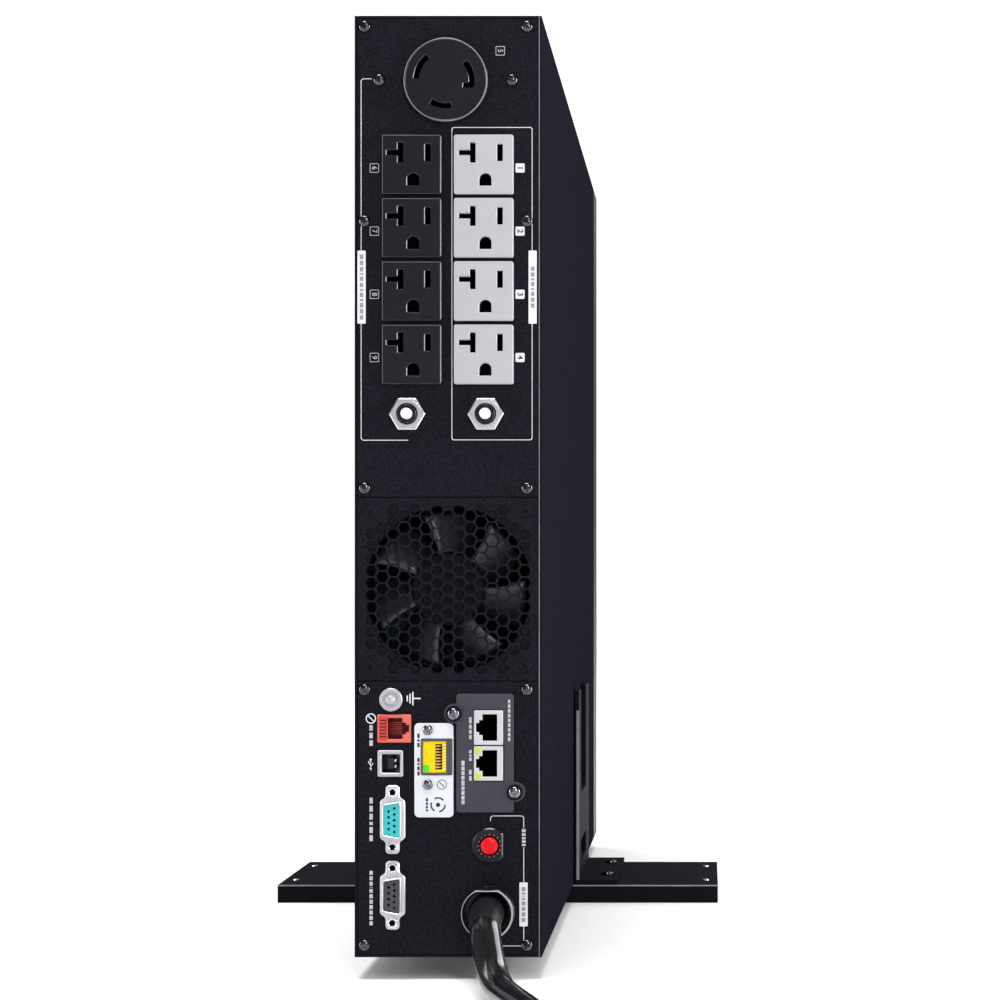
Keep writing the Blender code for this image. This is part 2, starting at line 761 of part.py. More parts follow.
def make_network_card():
    """The card that slides out of its slot: plate, board, two jacks and two captive screws."""
    holes = [
        centred((NETWORK_JACK_X, height), 0.0134 + 2 * GAP, 0.0158 + 2 * GAP)
        for height in NETWORK_JACKS.values()
    ]
    plate = rear_plate("network_plate", [rounded(*CARD_PLATE, 0.0015), *holes], 0.0015, GAP)
    for centre in THUMBSCREWS.values():
        join(plate, rear_plate("plate_ear", [circle(centre, 0.0044)], 0.0014, 0.0004))
    for centre in THUMBSCREWS.values():
        cut(plate, rear_plate("ear_hole", [circle(centre, 0.0020, 12)], 0.003, -0.001))
    finish(plate, "card")

    for name, height in NETWORK_JACKS.items():
        centre = (NETWORK_JACK_X, height)
        make_modular_jack(name, centre, (0.0134, 0.0158), 0.0122, -1, 0.0019, "white")

    low_x, low, _, high = CARD_SLOT
    board = rectangle(low_x + 0.0010, low + 0.0010, low_x + 0.0026, high - 0.0010)
    card = rear_box("network_board", board, -CARD_LENGTH, -0.0010)
    chip = rectangle(low_x + 0.0020, 0.085, low_x + 0.0060, 0.103)
    join(card, rear_box("network_chip", chip, -0.070, -0.045))
    finish(card, "board", False)

    profile = [
        (0, 0.0060), (0.0032, 0.0060), (0.0037, 0.0054), (0.0037, 0.0018),
        (0.0013, 0.0018), (0.0013, -0.0070), (0, -0.0070),
    ]
    for name, centre in THUMBSCREWS.items():
        finish(rear_turned(name, profile, centre, 20), "black plastic")


# Mains lead

def make_lead():
    rim = GLAND_RADIUS
    profile = [
        (0, GLAND_FLOOR), (0.0104, GLAND_FLOOR), (0.0112, GLAND_LENGTH), (rim - 0.0004, GLAND_LENGTH),
        (rim, GLAND_LENGTH - 0.0006), (rim, GAP), (0.0090, GAP), (0.0090, -0.014), (0, -0.014),
    ]
    gland = rear_turned("input_gland", profile, GLAND, 32)
    x, height = GLAND
    flat = rectangle(x - 0.015, height + 0.0108, x + 0.015, height + 0.015)
    cut(gland, rear_box("gland_flat", flat, 0.001, 0.020))
    finish(gland, "black plastic")

    finish(tube("input_cord", LEAD_ROUTE, 0.014), "rubber")
    finish(tube("input_cord_tail", TAIL_ROUTE, 0.014), "rubber")
    make_coil()
    make_plug()


def make_coil():
    """The outer shape of the wound lead: a turned ring lying on the floor."""
    low, high, soft = 0.0001, COIL_TOP, 0.005
    profile = [
        (COIL_INNER, high - soft), (COIL_INNER + soft, high), (COIL_OUTER - soft, high),
        (COIL_OUTER, high - soft), (COIL_OUTER, low + soft), (COIL_OUTER - soft, low),
        (COIL_INNER + soft, low), (COIL_INNER, low + soft),
    ]
    mesh = bpy.data.meshes.new("input_cord_coil")
    edit = bmesh.new()
    points = [edit.verts.new((radius, 0, z)) for radius, z in profile]
    for i, point in enumerate(points):
        edit.edges.new((point, points[(i + 1) % len(points)]))
    edit.to_mesh(mesh)
    edit.free()
    coil = add_object("input_cord_coil", mesh)
    x, distance = COIL_CENTRE
    coil.location = (x, outward(distance), 0)
    spin = coil.modifiers.new("Spin", "SCREW")
    spin.steps = 40
    spin.render_steps = 40
    spin.use_merge_vertices = True
    spin.merge_threshold = 1e-5
    finish(coil, "rubber")


def make_plug():
    x = TAIL_ROUTE[-1][0]
    height = PLUG_RADIUS + 0.0002
    face = PLUG_LENGTH
    profile = [
        (0, face), (PLUG_RADIUS - 0.001, face), (PLUG_RADIUS, face - 0.001), (PLUG_RADIUS, 0.024),
        (0.0195, 0.018), (0.0145, 0.008), (0.0115, 0), (0, 0),
    ]
    plug = turned("input_plug", profile, (x, height), outward(PLUG_START), 32)
    for outline in locking_slots(0.0016):
        start = outward(PLUG_START + face - 0.004)
        end = outward(PLUG_START + face + BLADE_LENGTH)
        join(plug, extruded("plug_blade", [moved(outline, (x, height))], "XZ", start, end))
    finish(plug, "black plastic")


# Tower stand

def make_foot():
    half = FOOT_WIDTH / 2
    near, far = outward(-FOOT_NEAR), outward(-FOOT_NEAR - FOOT_DEPTH)
    foot = make_shell("stand_foot", (-half, near, 0), (half, far, FOOT_HEIGHT), [(0, 0, -1)], FOOT_SHEET)
    hole_x, from_edge = FOOT_HOLES
    for x in (-hole_x, hole_x):
        for y in (near + from_edge, far - from_edge):
            cut(foot, extruded("foot_hole", [circle((x, y), 0.0019, 12)], "XY", 0.004, 0.020))
    finish(foot, "stand", False)


def make_brackets():
    """A mirrored pair of steel angles, with a notch, a window and two slots."""
    near = outward(-FOOT_NEAR)
    top = up(BRACKET_HEIGHT)
    notch_start, notch_end, notch_floor = BRACKET_NOTCH
    a, b = near + notch_start, near + notch_end
    base = up(GAP)
    soft = 0.006
    upright = (
        [(near, base), (near + FOOT_DEPTH, base), (near + FOOT_DEPTH, top), (b, top)]
        + arc((b - soft, up(notch_floor) + soft), soft, 0, -90, 3)
        + arc((a + soft, up(notch_floor) + soft), soft, 270, 180, 3)
        + [(a, top), (near, top)]
    )
    low, high = BRACKET_WINDOW
    window = rectangle(a, up(low), b, up(high))
    inner = HALF_WIDTH + 0.0009
    slot_length, slot_width, slot_offset = BRACKET_SLOT
    middle = near + FOOT_DEPTH / 2
    for side, sign in (("left", -1), ("right", 1)):
        start, end = sign * inner, sign * (inner + BRACKET_SHEET)
        bracket = extruded(f"stand_bracket_{side}", [upright, window], "YZ", start, end)
        foot_low = (min(sign * (inner + 0.0004), sign * (HALF_WIDTH + BRACKET_REACH)), near, base + 0.0001)
        foot_high = (
            max(sign * (inner + 0.0004), sign * (HALF_WIDTH + BRACKET_REACH)),
            near + FOOT_DEPTH,
            base + 0.0021,
        )
        join(bracket, box("bracket_foot", foot_low, foot_high))
        for y in (middle - slot_offset, middle + slot_offset):
            slot = centred((sign * 0.061, y), slot_length, slot_width)
            cut(bracket, extruded("bracket_slot", [slot], "XY", 0.005, 0.020))
        finish(bracket, "stand", False)


# Front

def make_bezel():
    back, front = outward(-CHASSIS_DEPTH - GAP), outward(-CHASSIS_DEPTH - BEZEL_DEPTH)
    low = (-HALF_WIDTH, back, CASE_BOTTOM)
    high = (HALF_WIDTH, front, up(CASE_HEIGHT))
    bezel = box("bezel", low, high)
    edit = bmesh.new()
    edit.from_mesh(bezel.data)
    rim = [edge for edge in edit.edges if all(vert.co.y > 0 for vert in edge.verts)]
    bmesh.ops.bevel(edit, geom=rim, offset=0.006, segments=3, profile=0.5, affect="EDGES")
    rear_faces = [face for face in edit.faces if face.normal.y < -0.9]
    bmesh.ops.delete(edit, geom=rear_faces, context="FACES")
    edit.to_mesh(bezel.data)
    edit.free()
    solidify = bezel.modifiers.new("Wall", "SOLIDIFY")
    solidify.thickness = BEZEL_WALL
    solidify.offset = -1
    window = [circle((0, DISPLAY_HEIGHT), DISPLAY_RADIUS + 0.0005, 44)]
    depth = -CHASSIS_DEPTH - BEZEL_DEPTH
    cut(bezel, rear_plate("bezel_window", window, depth - 0.004, depth + 0.010))
    width, length = VENT_SIZE
    for i in range(VENT_COUNT):
        vent = centred((0, VENT_FIRST + i * VENT_PITCH), length, width)
        cut(bezel, rear_box("bezel_vent", vent, depth - 0.004, depth + 0.006))
    finish(bezel, "bezel")


def make_display():
    """The turning display disc with its keys; their faces point to the front."""
    centre = (0, up(DISPLAY_HEIGHT))
    face_depth = CHASSIS_DEPTH + BEZEL_DEPTH + 0.001
    base = outward(-CHASSIS_DEPTH - GAP)
    length = face_depth - CHASSIS_DEPTH - GAP
    rim = DISPLAY_RADIUS
    profile = [
        (0, length), (rim - 0.0012, length), (rim, length - 0.0012), (rim, length - 0.007),
        (0.0270, length - 0.010), (0.0270, 0.0), (0, 0.0),
    ]
    disc = turned("display_module", profile, centre, base, 44, facing=1)
    glass = rounded(-0.0215, DISPLAY_HEIGHT - 0.0085, 0.0215, DISPLAY_HEIGHT + 0.0195, 0.0015)
    cut(disc, rear_plate("display_recess", [glass], -face_depth + 0.0012, -face_depth - 0.002))
    keys = {**KEY_BUTTONS, "power_button": POWER_BUTTON}
    for name, (x, drop) in keys.items():
        radius = POWER_RADIUS if name == "power_button" else KEY_RADIUS
        place = (x, DISPLAY_HEIGHT + drop)
        opening = circle(place, radius + GAP, 16)
        cut(disc, rear_plate("key_well", [opening], -face_depth + KEY_WELL, -face_depth - 0.002))
        height = KEY_WELL - 0.0018 + 0.0012
        cap = [(0, height), (radius - 0.0004, height), (radius, height - 0.0004), (radius, 0), (0, 0)]
        key_base = outward(-face_depth + KEY_WELL - 0.0018)
        key = turned(name, cap, (x, up(place[1])), key_base, 16, facing=1)
        finish(key, "grey plastic")
    finish(disc, "bezel")


# Inside

def make_drawer():
    low_x, low, high_x, high = TRAY
    back, front = TRAY_DEPTHS
    tray = make_shell(
        "battery_tray",
        (low_x, outward(-back), up(low)),
        (high_x, outward(-front), up(high)),
        [(1, 0, 0)],
        SHEET,
    )
    finish(tray, "cover", False)
    width, length, height = BATTERY_SIZE
    pitch_y, pitch_z = BATTERY_PITCH
    x = low_x + SHEET + GAP
    middle_y = (outward(-back) + outward(-front)) / 2
    middle_z = up((low + high) / 2)
    number = 1
    for row in (-0.5, 0.5):
        for column in (-1, 0, 1):
            y, z = middle_y + row * pitch_y, middle_z + column * pitch_z
            corner = (x, y - length / 2, z - height / 2)
            far_corner = (x + width, y + length / 2, z + height / 2)
            battery = bevel(box(f"battery_{number}", corner, far_corner), 0.0015)
            finish(battery, "battery", False)
            number += 1


def make_electronics():
    board = rectangle(-0.0400, 0.020, -0.0384, 0.200)
    main = rear_box("main_board", board, -0.230, -0.045)
    parts = (
        (rectangle(-0.0388, 0.025, 0.020, 0.063), -0.150, -0.080),
        (rectangle(-0.0388, 0.100, -0.004, 0.160), -0.130, -0.060),
        (rectangle(-0.0388, 0.090, 0.010, 0.180), -0.215, -0.160),
    )
    for outline, near, far in parts:
        join(main, rear_box("board_part", outline, near, far))
    finish(main, "board", False)

    core = rear_box("transformer", rectangle(-0.030, 0.312, 0.030, 0.420), -0.350, -0.290)
    winding = rectangle(-0.036, 0.336, 0.036, 0.396)
    join(core, rear_box("transformer_winding", winding, -0.368, -0.272))
    finish(core, "iron", False)


clear_scene()
PARTS = new_collection("rackmount_ups", False)
CUTTERS = new_collection("cutters", True)
make_chassis()
make_rear_panels()
make_front_panel()
make_outlets()
make_locking_outlet()
make_breakers()
make_input_breaker()
make_fan()
make_ground_stud()
make_modular_jack("emergency_off_jack", OFF_JACK, (0.0155, 0.0129), 0.0097, 1, 0.0008, "orange")
make_usb_port()
make_serial_ports()
make_service_card()
make_network_card()
make_lead()
make_foot()
make_brackets()
make_bezel()
make_display()
make_drawer()
make_electronics()
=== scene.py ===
"""The looks of a 2U rackmount uninterruptible power supply that stands as a tower on its foot.

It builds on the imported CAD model. Shapes are drawn in millimetres and made in metres. The rear panels
face -Y. Details on them are placed by x, by the height above the bottom of the case, and by the distance
out of the panels.
"""

import math

import bmesh
import bpy
from mathutils import Matrix, Vector


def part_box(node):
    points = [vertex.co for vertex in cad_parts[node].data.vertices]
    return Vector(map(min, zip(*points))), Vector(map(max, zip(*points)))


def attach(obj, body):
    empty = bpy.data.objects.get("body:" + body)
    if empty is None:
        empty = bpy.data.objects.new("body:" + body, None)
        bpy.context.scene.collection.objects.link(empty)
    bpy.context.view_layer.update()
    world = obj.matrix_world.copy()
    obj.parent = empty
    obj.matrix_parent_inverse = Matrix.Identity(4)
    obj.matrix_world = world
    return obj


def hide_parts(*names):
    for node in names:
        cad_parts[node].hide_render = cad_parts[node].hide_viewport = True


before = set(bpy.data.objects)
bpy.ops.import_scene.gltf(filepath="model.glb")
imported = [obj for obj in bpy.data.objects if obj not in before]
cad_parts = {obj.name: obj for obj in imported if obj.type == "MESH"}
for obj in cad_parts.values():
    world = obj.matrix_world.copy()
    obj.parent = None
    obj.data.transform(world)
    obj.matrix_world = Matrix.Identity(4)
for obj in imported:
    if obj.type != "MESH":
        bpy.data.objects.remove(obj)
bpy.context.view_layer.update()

MM = 0.001
WORLD = Matrix.Identity(4)
TO_SIDE = Matrix.Rotation(math.pi / 2, 4, "Y")


def box(node):
    """The corners of a CAD node's box, in millimetres."""
    low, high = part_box(node)
    return low / MM, high / MM


def moved(x, y, z):
    return Matrix.Translation(Vector((x, y, z)) * MM)


def facing_rear(x, y, z):
    """The frame of a face that looks to -Y: x, height, outwards."""
    return moved(x, y, z) @ Matrix.Rotation(math.pi / 2, 4, "X")


REAR = box("rear_io_panel")[0].y
BOTTOM = box("cover")[0].z
FRONT = box("display_module")[1].y
REAR_FACE = facing_rear(0, REAR, BOTTOM)
FRONT_FACE = moved(0, FRONT, BOTTOM) @ Matrix(((-1, 0, 0, 0), (0, 0, 1, 0), (0, 1, 0, 0), (0, 0, 0, 1)))


# Materials

FINISHES = {}


def shader_of(name):
    """A new material, kept by its name among the finishes, with its node tree and its shader."""
    material = bpy.data.materials.new(name)
    material.use_nodes = True
    FINISHES[name] = material
    return material.node_tree, material.node_tree.nodes["Principled BSDF"]


def set_inputs(node, values):
    for key, value in values.items():
        node.inputs[key].default_value = value


def noise(tree, scale, detail=3, stretch=(1, 1, 1), kind="ShaderNodeTexNoise"):
    """A noise or cell texture in the object's own coordinates."""
    coordinates = tree.nodes.new("ShaderNodeTexCoord")
    mapping = tree.nodes.new("ShaderNodeMapping")
    mapping.inputs["Scale"].default_value = stretch
    texture = tree.nodes.new(kind)
    texture.inputs["Scale"].default_value = scale
    if kind == "ShaderNodeTexNoise":
        texture.inputs["Detail"].default_value = detail
    tree.links.new(coordinates.outputs["Object"], mapping.inputs["Vector"])
    tree.links.new(mapping.outputs["Vector"], texture.inputs["Vector"])
    return texture


def spread(tree, value, low, high, start=0.3, end=0.7):
    """The texture's value mapped from start..end to low..high."""
    node = tree.nodes.new("ShaderNodeMapRange")
    set_inputs(node, {"From Min": start, "From Max": end, "To Min": low, "To Max": high})
    tree.links.new(value, node.inputs["Value"])
    return node.outputs["Result"]


def coloured(tree, shader, factor, first, second):
    """A base colour between two, by a factor."""
    node = tree.nodes.new("ShaderNodeMix")
    node.data_type = "RGBA"
    set_inputs(node, {"A": (*first, 1), "B": (*second, 1)})
    tree.links.new(factor, node.inputs["Factor"])
    tree.links.new(node.outputs["Result"], shader.inputs["Base Color"])


def bumped(tree, shader, height, distance):
    bump = tree.nodes.new("ShaderNodeBump")
    set_inputs(bump, {"Strength": 1, "Distance": distance})
    tree.links.new(height, bump.inputs["Height"])
    tree.links.new(bump.outputs["Normal"], shader.inputs["Normal"])


def surface(name, colour, roughness, metallic=0, specular=0.5, mottle=0.12, grain=1800, depth=0.00002,
        stretch=(1, 1, 1), coat=0, glow=0, uneven=0.06, crisp=0.5, clouds=90, reach=0.2):
    """A painted, moulded or plated finish: mottled colour, uneven gloss and a fine grain."""
    tree, shader = shader_of(name)
    set_inputs(shader, {"Metallic": metallic, "Specular IOR Level": specular, "Coat Weight": coat,
        "Coat Roughness": 0.12})
    cloud = noise(tree, clouds, 5)
    cloud.inputs["Roughness"].default_value = crisp
    dark = [value * (1 - mottle) for value in colour]
    light = [min(1, value * (1 + mottle)) for value in colour]
    coloured(tree, shader, spread(tree, cloud.outputs["Fac"], 0, 1, 0.5 - reach, 0.5 + reach), dark, light)
    patch = noise(tree, 260, 2, stretch)
    gloss = spread(tree, patch.outputs["Fac"], roughness * (1 - uneven), min(1, roughness * (1 + uneven)))
    tree.links.new(gloss, shader.inputs["Roughness"])
    bumped(tree, shader, noise(tree, grain, 2, stretch).outputs["Fac"], depth)
    if glow:
        set_inputs(shader, {"Emission Color": (*colour, 1), "Emission Strength": glow})


def board_finish():
    """Green circuit board with a pattern of paler tracks."""
    tree, shader = shader_of("circuit_board")
    tracks = noise(tree, 260, kind="ShaderNodeTexVoronoi")
    tracks.distance = "MANHATTAN"
    tracks.feature = "DISTANCE_TO_EDGE"
    line = spread(tree, tracks.outputs["Distance"], 1, 0, 0.03, 0.06)
    coloured(tree, shader, line, (0.006, 0.05, 0.02), (0.02, 0.12, 0.045))
    shader.inputs["Roughness"].default_value = 0.35
    bumped(tree, shader, line, 0.00004)


def lamination_finish():
    """Stacked transformer sheets: fine dark lines across the core."""
    tree, shader = shader_of("core_iron")
    wave = noise(tree, 900, stretch=(0, 1, 0), kind="ShaderNodeTexWave")
    wave.bands_direction = "Y"
    cloud = spread(tree, noise(tree, 120).outputs["Fac"], 0, 1)
    coloured(tree, shader, cloud, (0.16, 0.15, 0.14), (0.26, 0.24, 0.22))
    set_inputs(shader, {"Metallic": 0.7, "Roughness": 0.5})
    bumped(tree, shader, wave.outputs["Fac"], 0.0001)


def cord_finish():
    """Glossy black jacket with a faint mottle and a fine grain."""
    tree, shader = shader_of("cord_rubber")
    cloud = noise(tree, 60).outputs["Fac"]
    coloured(tree, shader, spread(tree, cloud, 0, 1), (0.005, 0.005, 0.0062), (0.006, 0.006, 0.0075))
    set_inputs(shader, {"Specular IOR Level": 0, "Coat Weight": 1, "Coat Roughness": 0.13})
    tree.links.new(spread(tree, cloud, 0.3, 0.36), shader.inputs["Roughness"])
    bumped(tree, shader, noise(tree, 1400, 2).outputs["Fac"], 0.000006)


surface("panel", (0.0056, 0.0055, 0.01), 0.5, specular=0.08, mottle=0.7, grain=1100, depth=0.00016,
    uneven=0.2, crisp=0.6, clouds=1500, reach=0.1)
surface("cover", (0.01, 0.0099, 0.015), 0.8, specular=0, mottle=0.2, grain=1700, depth=0.00003, crisp=0.9)
surface("stand", (0.0053, 0.0052, 0.0076), 0.6, specular=0.02, grain=1500, depth=0.00003)
surface("black_plastic", (0.006, 0.006, 0.01), 0.22, specular=0.42, mottle=0.05, grain=2600)
surface("fan_plastic", (0.01, 0.01, 0.014), 0.46, specular=0.8, mottle=0.05, coat=0.2)
surface("hub_plastic", (0.01, 0.01, 0.0145), 0.6, specular=0.05, mottle=0.3, clouds=500)
# Grey plastic of the outlets and keys; the same finish makes the pale ring in the cable gland, a painted
# highlight.
surface("grey_plastic", (0.39, 0.39, 0.42), 0.38, specular=0.4, mottle=0.02, grain=2600)
surface("bezel_plastic", (0.007, 0.007, 0.009), 0.42, specular=0.18, grain=3000)
surface("plated_steel", (0.8, 0.8, 0.83), 0.26, metallic=1, mottle=0.06, grain=900, depth=0.000012,
    stretch=(1, 1, 6))
surface("satin_nickel", (0.44, 0.44, 0.465), 0.42, metallic=0.45, specular=0.6, mottle=0.04)
surface("bright_nickel", (0.62, 0.62, 0.65), 0.36, metallic=0.5, specular=0.6, mottle=0.04)
surface("dark_chrome", (0.19, 0.19, 0.21), 0.16, metallic=1, mottle=0.1)
surface("dark_steel", (0.08, 0.08, 0.088), 0.14, metallic=1, mottle=0.2, depth=0.00001)
# Pale strips and rings on edges and lips, dim and bright: painted highlights where light catches an edge.
surface("dim_painted_highlight", (0.085, 0.085, 0.1), 0.45, specular=0.3, mottle=0.2)
surface("bright_painted_highlight", (0.21, 0.21, 0.23), 0.4, specular=0.3, mottle=0.2)
surface("white_plastic", (0.76, 0.76, 0.79), 0.35, mottle=0.02, grain=2600)
surface("red_plastic", (0.64, 0.0015, 0.006), 0.34, specular=0.3, mottle=0.05)
surface("orange_plastic", (0.63, 0.12, 0.088), 0.38, mottle=0.05)
# The emergency-off jack's darker orange over its combs and the dark red inside its opening are painted shade
# on its orange plastic.
surface("orange_painted_shade", (0.52, 0.04, 0.026), 0.38, mottle=0.05)
surface("red_painted_shade", (0.3, 0.006, 0.01), 0.42, mottle=0.1)
# The yellow's slight glow is the lamp's light on the upper service LED and painted light on the jack lining;
# the paler, glowing yellow of the jack's ribs is a painted highlight.
surface("yellow_plastic", (0.78, 0.57, 0.001), 0.42, specular=0.2, mottle=0.04, glow=0.04)
surface("yellow_painted_highlight", (0.8, 0.68, 0.12), 0.4, mottle=0.04, glow=0.1)
surface("jack_white", (0.51, 0.51, 0.535), 0.42, specular=0.3, mottle=0.02)
surface("white_plate", (0.68, 0.69, 0.73), 0.4, specular=0.3, mottle=0.02, grain=1500)
surface("card_plate", (0.052, 0.052, 0.066), 0.5, specular=0.1, mottle=0.08, grain=1500, crisp=0.8)
surface("relief_rubber", (0.0045, 0.0045, 0.0065), 0.42, specular=0.22, mottle=0.05)
board_finish()
surface("battery_case", (0.03, 0.03, 0.033), 0.55, grain=1500, depth=0.00004)
lamination_finish()
cord_finish()
surface("ink", (0.72, 0.73, 0.76), 0.55, specular=0.2, mottle=0.04)
surface("dark_ink", (0.03, 0.03, 0.04), 0.55, specular=0.2)
surface("grey_ink", (0.3, 0.3, 0.33), 0.55, specular=0.2)
surface("thin_ink", (0.46, 0.47, 0.49), 0.55, specular=0.2, mottle=0.3, crisp=1)
# Near black for the insides of holes, slots and openings: painted shade.
surface("painted_hole_shade", (0.004, 0.004, 0.005), 0.8, specular=0.05)
surface("brass", (0.7, 0.46, 0.17), 0.3, metallic=1, mottle=0.1)
surface("copper", (0.62, 0.25, 0.1), 0.32, metallic=1, grain=900, depth=0.00006)
surface("teal_plastic", (0.035, 0.5, 0.52), 0.36, mottle=0.04)
surface("charcoal_plastic", (0.046, 0.046, 0.056), 0.4, mottle=0.08)
surface("green_led", (0.05, 0.55, 0.03), 0.3, specular=0.3, glow=0.2)
surface("lime_led", (0.46, 0.56, 0.05), 0.3, specular=0.3, glow=0.08)
surface("glass", (0.004, 0.005, 0.007), 0.07, specular=0.6, grain=200, depth=0, coat=0.8)
surface("pixel", (0.1, 0.16, 0.2), 0.4, mottle=0.05)
surface("blue_glow", (0.1, 0.35, 0.9), 0.3, glow=0.9)
surface("label_paper", (0.72, 0.72, 0.7), 0.5, mottle=0.03, specular=0.3)


# Outlines, as lists of two coordinates

def centred(centre, width, height):
    u, v = centre
    return [(u - width / 2, v - height / 2), (u + width / 2, v - height / 2),
        (u + width / 2, v + height / 2), (u - width / 2, v + height / 2)]


def rounded(width, height, soft, centre=(0, 0)):
    """A rectangle with rounded corners."""
    return softened(centred(centre, width, height), soft)


def polar(centre, radius, angle):
    """The point at a radius and an angle in degrees about a centre."""
    turn = math.radians(angle)
    return centre[0] + radius * math.cos(turn), centre[1] + radius * math.sin(turn)


def arc(centre, radius, start, end, steps):
    """Points on an arc, between two angles in degrees."""
    return [polar(centre, radius, start + (end - start) * i / steps) for i in range(steps + 1)]


def circle(centre, radius, sides=32):
    return arc(centre, radius, 0, 360, sides)[:-1]


def softened(outline, radius, steps=4):
    """The outline with each corner rounded, by less where its sides are short."""
    points = [Vector(point) for point in outline]
    result = []
    for i, corner in enumerate(points):
        before, after = points[i - 1] - corner, points[(i + 1) % len(points)] - corner
        half = before.angle(after) / 2
        reach = min(radius / math.tan(half), before.length * 0.45, after.length * 0.45)
        start, end = corner + before.normalized() * reach, corner + after.normalized() * reach
        for step in range(steps + 1):
            t = step / steps
            result.append(tuple(start * (1 - t) ** 2 + corner * 2 * t * (1 - t) + end * t**2))
    return result


def ring_sector(radius, width, start, end):
    return arc((0, 0), radius + width / 2, start, end, 12) + arc((0, 0), radius - width / 2, end, start, 12)


def turned(outline, angle):
    """The outline turned about its origin by an angle in degrees."""
    c, s = math.cos(math.radians(angle)), math.sin(math.radians(angle))
    return [(u * c - v * s, u * s + v * c) for u, v in outline]


def hexagon(radius, soft, start=0):
    return softened(arc((0, 0), radius, start, start + 300, 5), soft)


def spaced(count, pitch):
    """Even steps about zero."""
    return [(i - (count - 1) / 2) * pitch for i in range(count)]


def shifted(outline, centre, turn=1):
    """The outline at a centre; a turn of -1 mirrors it left to right."""
    return [(centre[0] + turn * u, centre[1] + v) for u, v in outline]


def ribbon(path, width):
    """The outline of a line of this width along a path, with mitred corners."""
    points = [Vector(point) for point in path]
    left, right = [], []
    for i, point in enumerate(points):
        into = (point - points[i - 1]).normalized() if i else (points[1] - point).normalized()
        out = (points[i + 1] - point).normalized() if i + 1 < len(points) else into
        normal = (Vector((-into.y, into.x)) + Vector((-out.y, out.x))).normalized()
        reach = width / 2 / max(0.3, normal.dot(Vector((-into.y, into.x))))
        left.append(tuple(point + normal * reach))
        right.append(tuple(point - normal * reach))
    return left + right[::-1]


# Meshes, each in the local frame of the face that it lies on: x, height, outwards

def shaded(mesh, angle=35):
    mesh.shade_smooth()
    mesh.set_sharp_from_angle(angle=math.radians(angle))
    return mesh


def from_edit(edit, angle=35, unit=MM):
    mesh = bpy.data.meshes.new("shape")
    bmesh.ops.recalc_face_normals(edit, faces=edit.faces)
    bmesh.ops.scale(edit, vec=(unit, unit, unit), verts=edit.verts)
    edit.to_mesh(mesh)
    edit.free()
    return shaded(mesh, angle)


def slab(outlines, low, high, soft=0):
    """A flat outline, with any holes after it, made solid between two levels, its edges bevelled by soft."""
    low, high, soft = low * MM, high * MM, soft * MM
    curve = bpy.data.curves.new("slab", "CURVE")
    curve.dimensions = "2D"
    curve.fill_mode = "BOTH"
    curve.extrude = (high - low) / 2 - soft
    curve.bevel_depth = soft
    curve.bevel_resolution = 0
    curve.offset = -soft
    for outline in outlines:
        spline = curve.splines.new("POLY")
        spline.points.add(len(outline) - 1)
        for point, (u, v) in zip(spline.points, outline):
            point.co = (u * MM, v * MM, 0, 1)
        spline.use_cyclic_u = True
    helper = bpy.data.objects.new("slab", curve)
    mesh = bpy.data.meshes.new_from_object(helper)
    bpy.data.objects.remove(helper)
    bpy.data.curves.remove(curve)
    edit = bmesh.new()
    edit.from_mesh(mesh)
    bpy.data.meshes.remove(mesh)
    bmesh.ops.translate(edit, vec=(0, 0, (low + high) / 2), verts=edit.verts)
    bmesh.ops.remove_doubles(edit, verts=edit.verts, dist=1e-6)
    return from_edit(edit, unit=1)


def lathe(profile, centre=(0, 0), sides=40, angle=35):
    """A profile of (radius, level) spun about the outward axis through a centre."""
    edit = bmesh.new()
    rings = []
    for radius, level in profile:
        if radius < 1e-6:
            rings.append([edit.verts.new((*centre, level))])
            continue
        rings.append([edit.verts.new((u, v, level)) for u, v in circle(centre, radius, sides)])
    for lower, upper in zip(rings, rings[1:]):
        for i in range(sides):
            j = (i + 1) % sides
            corners = [lower[i % len(lower)], lower[j % len(lower)], upper[j % len(upper)],
                upper[i % len(upper)]]
            unique = list(dict.fromkeys(corners))
            if len(unique) > 2:
                edit.faces.new(unique)
    return from_edit(edit, angle)


def cylinder(radius, low, high, sides=40):
    return lathe([(0, low), (radius, low), (radius, high), (0, high)], sides=sides)


def block(low, high, soft=0):
    """A box between two corners, its edges rounded by soft."""
    low, high = Vector(low), Vector(high)
    edit = bmesh.new()
    bmesh.ops.create_cube(edit, size=1)
    bmesh.ops.scale(edit, vec=high - low, verts=edit.verts)
    bmesh.ops.translate(edit, vec=(low + high) / 2, verts=edit.verts)
    if soft:
        bmesh.ops.bevel(edit, geom=edit.edges, offset=soft, segments=2, profile=0.5, affect="EDGES")
    return from_edit(edit)


def placed(mesh, matrix):
    copy = mesh.copy()
    copy.transform(matrix)
    return copy


def at(u, v, w=0, turn=0):
    """A shift in the face's frame, after a turn in degrees about the outward axis."""
    return moved(u, v, w) @ Matrix.Rotation(math.radians(turn), 4, "Z")


def joined(*meshes):
    edit = bmesh.new()
    for mesh in meshes:
        edit.from_mesh(mesh)
    result = bpy.data.meshes.new("joined")
    edit.to_mesh(result)
    edit.free()
    return result


def added(name, data):
    """A new object in the scene."""
    obj = bpy.data.objects.new(name, data)
    bpy.context.scene.collection.objects.link(obj)
    return obj


def carved(mesh, cutter):
    """The mesh less the cutter."""
    target, helper = added("target", mesh), added("cutter", cutter)
    modifier = target.modifiers.new("Cut", "BOOLEAN")
    modifier.object = helper
    modifier.solver = "EXACT"
    graph = bpy.context.evaluated_depsgraph_get()
    result = bpy.data.meshes.new_from_object(target.evaluated_get(graph))
    for used in (target, helper):
        bpy.data.objects.remove(used)
    return shaded(result)


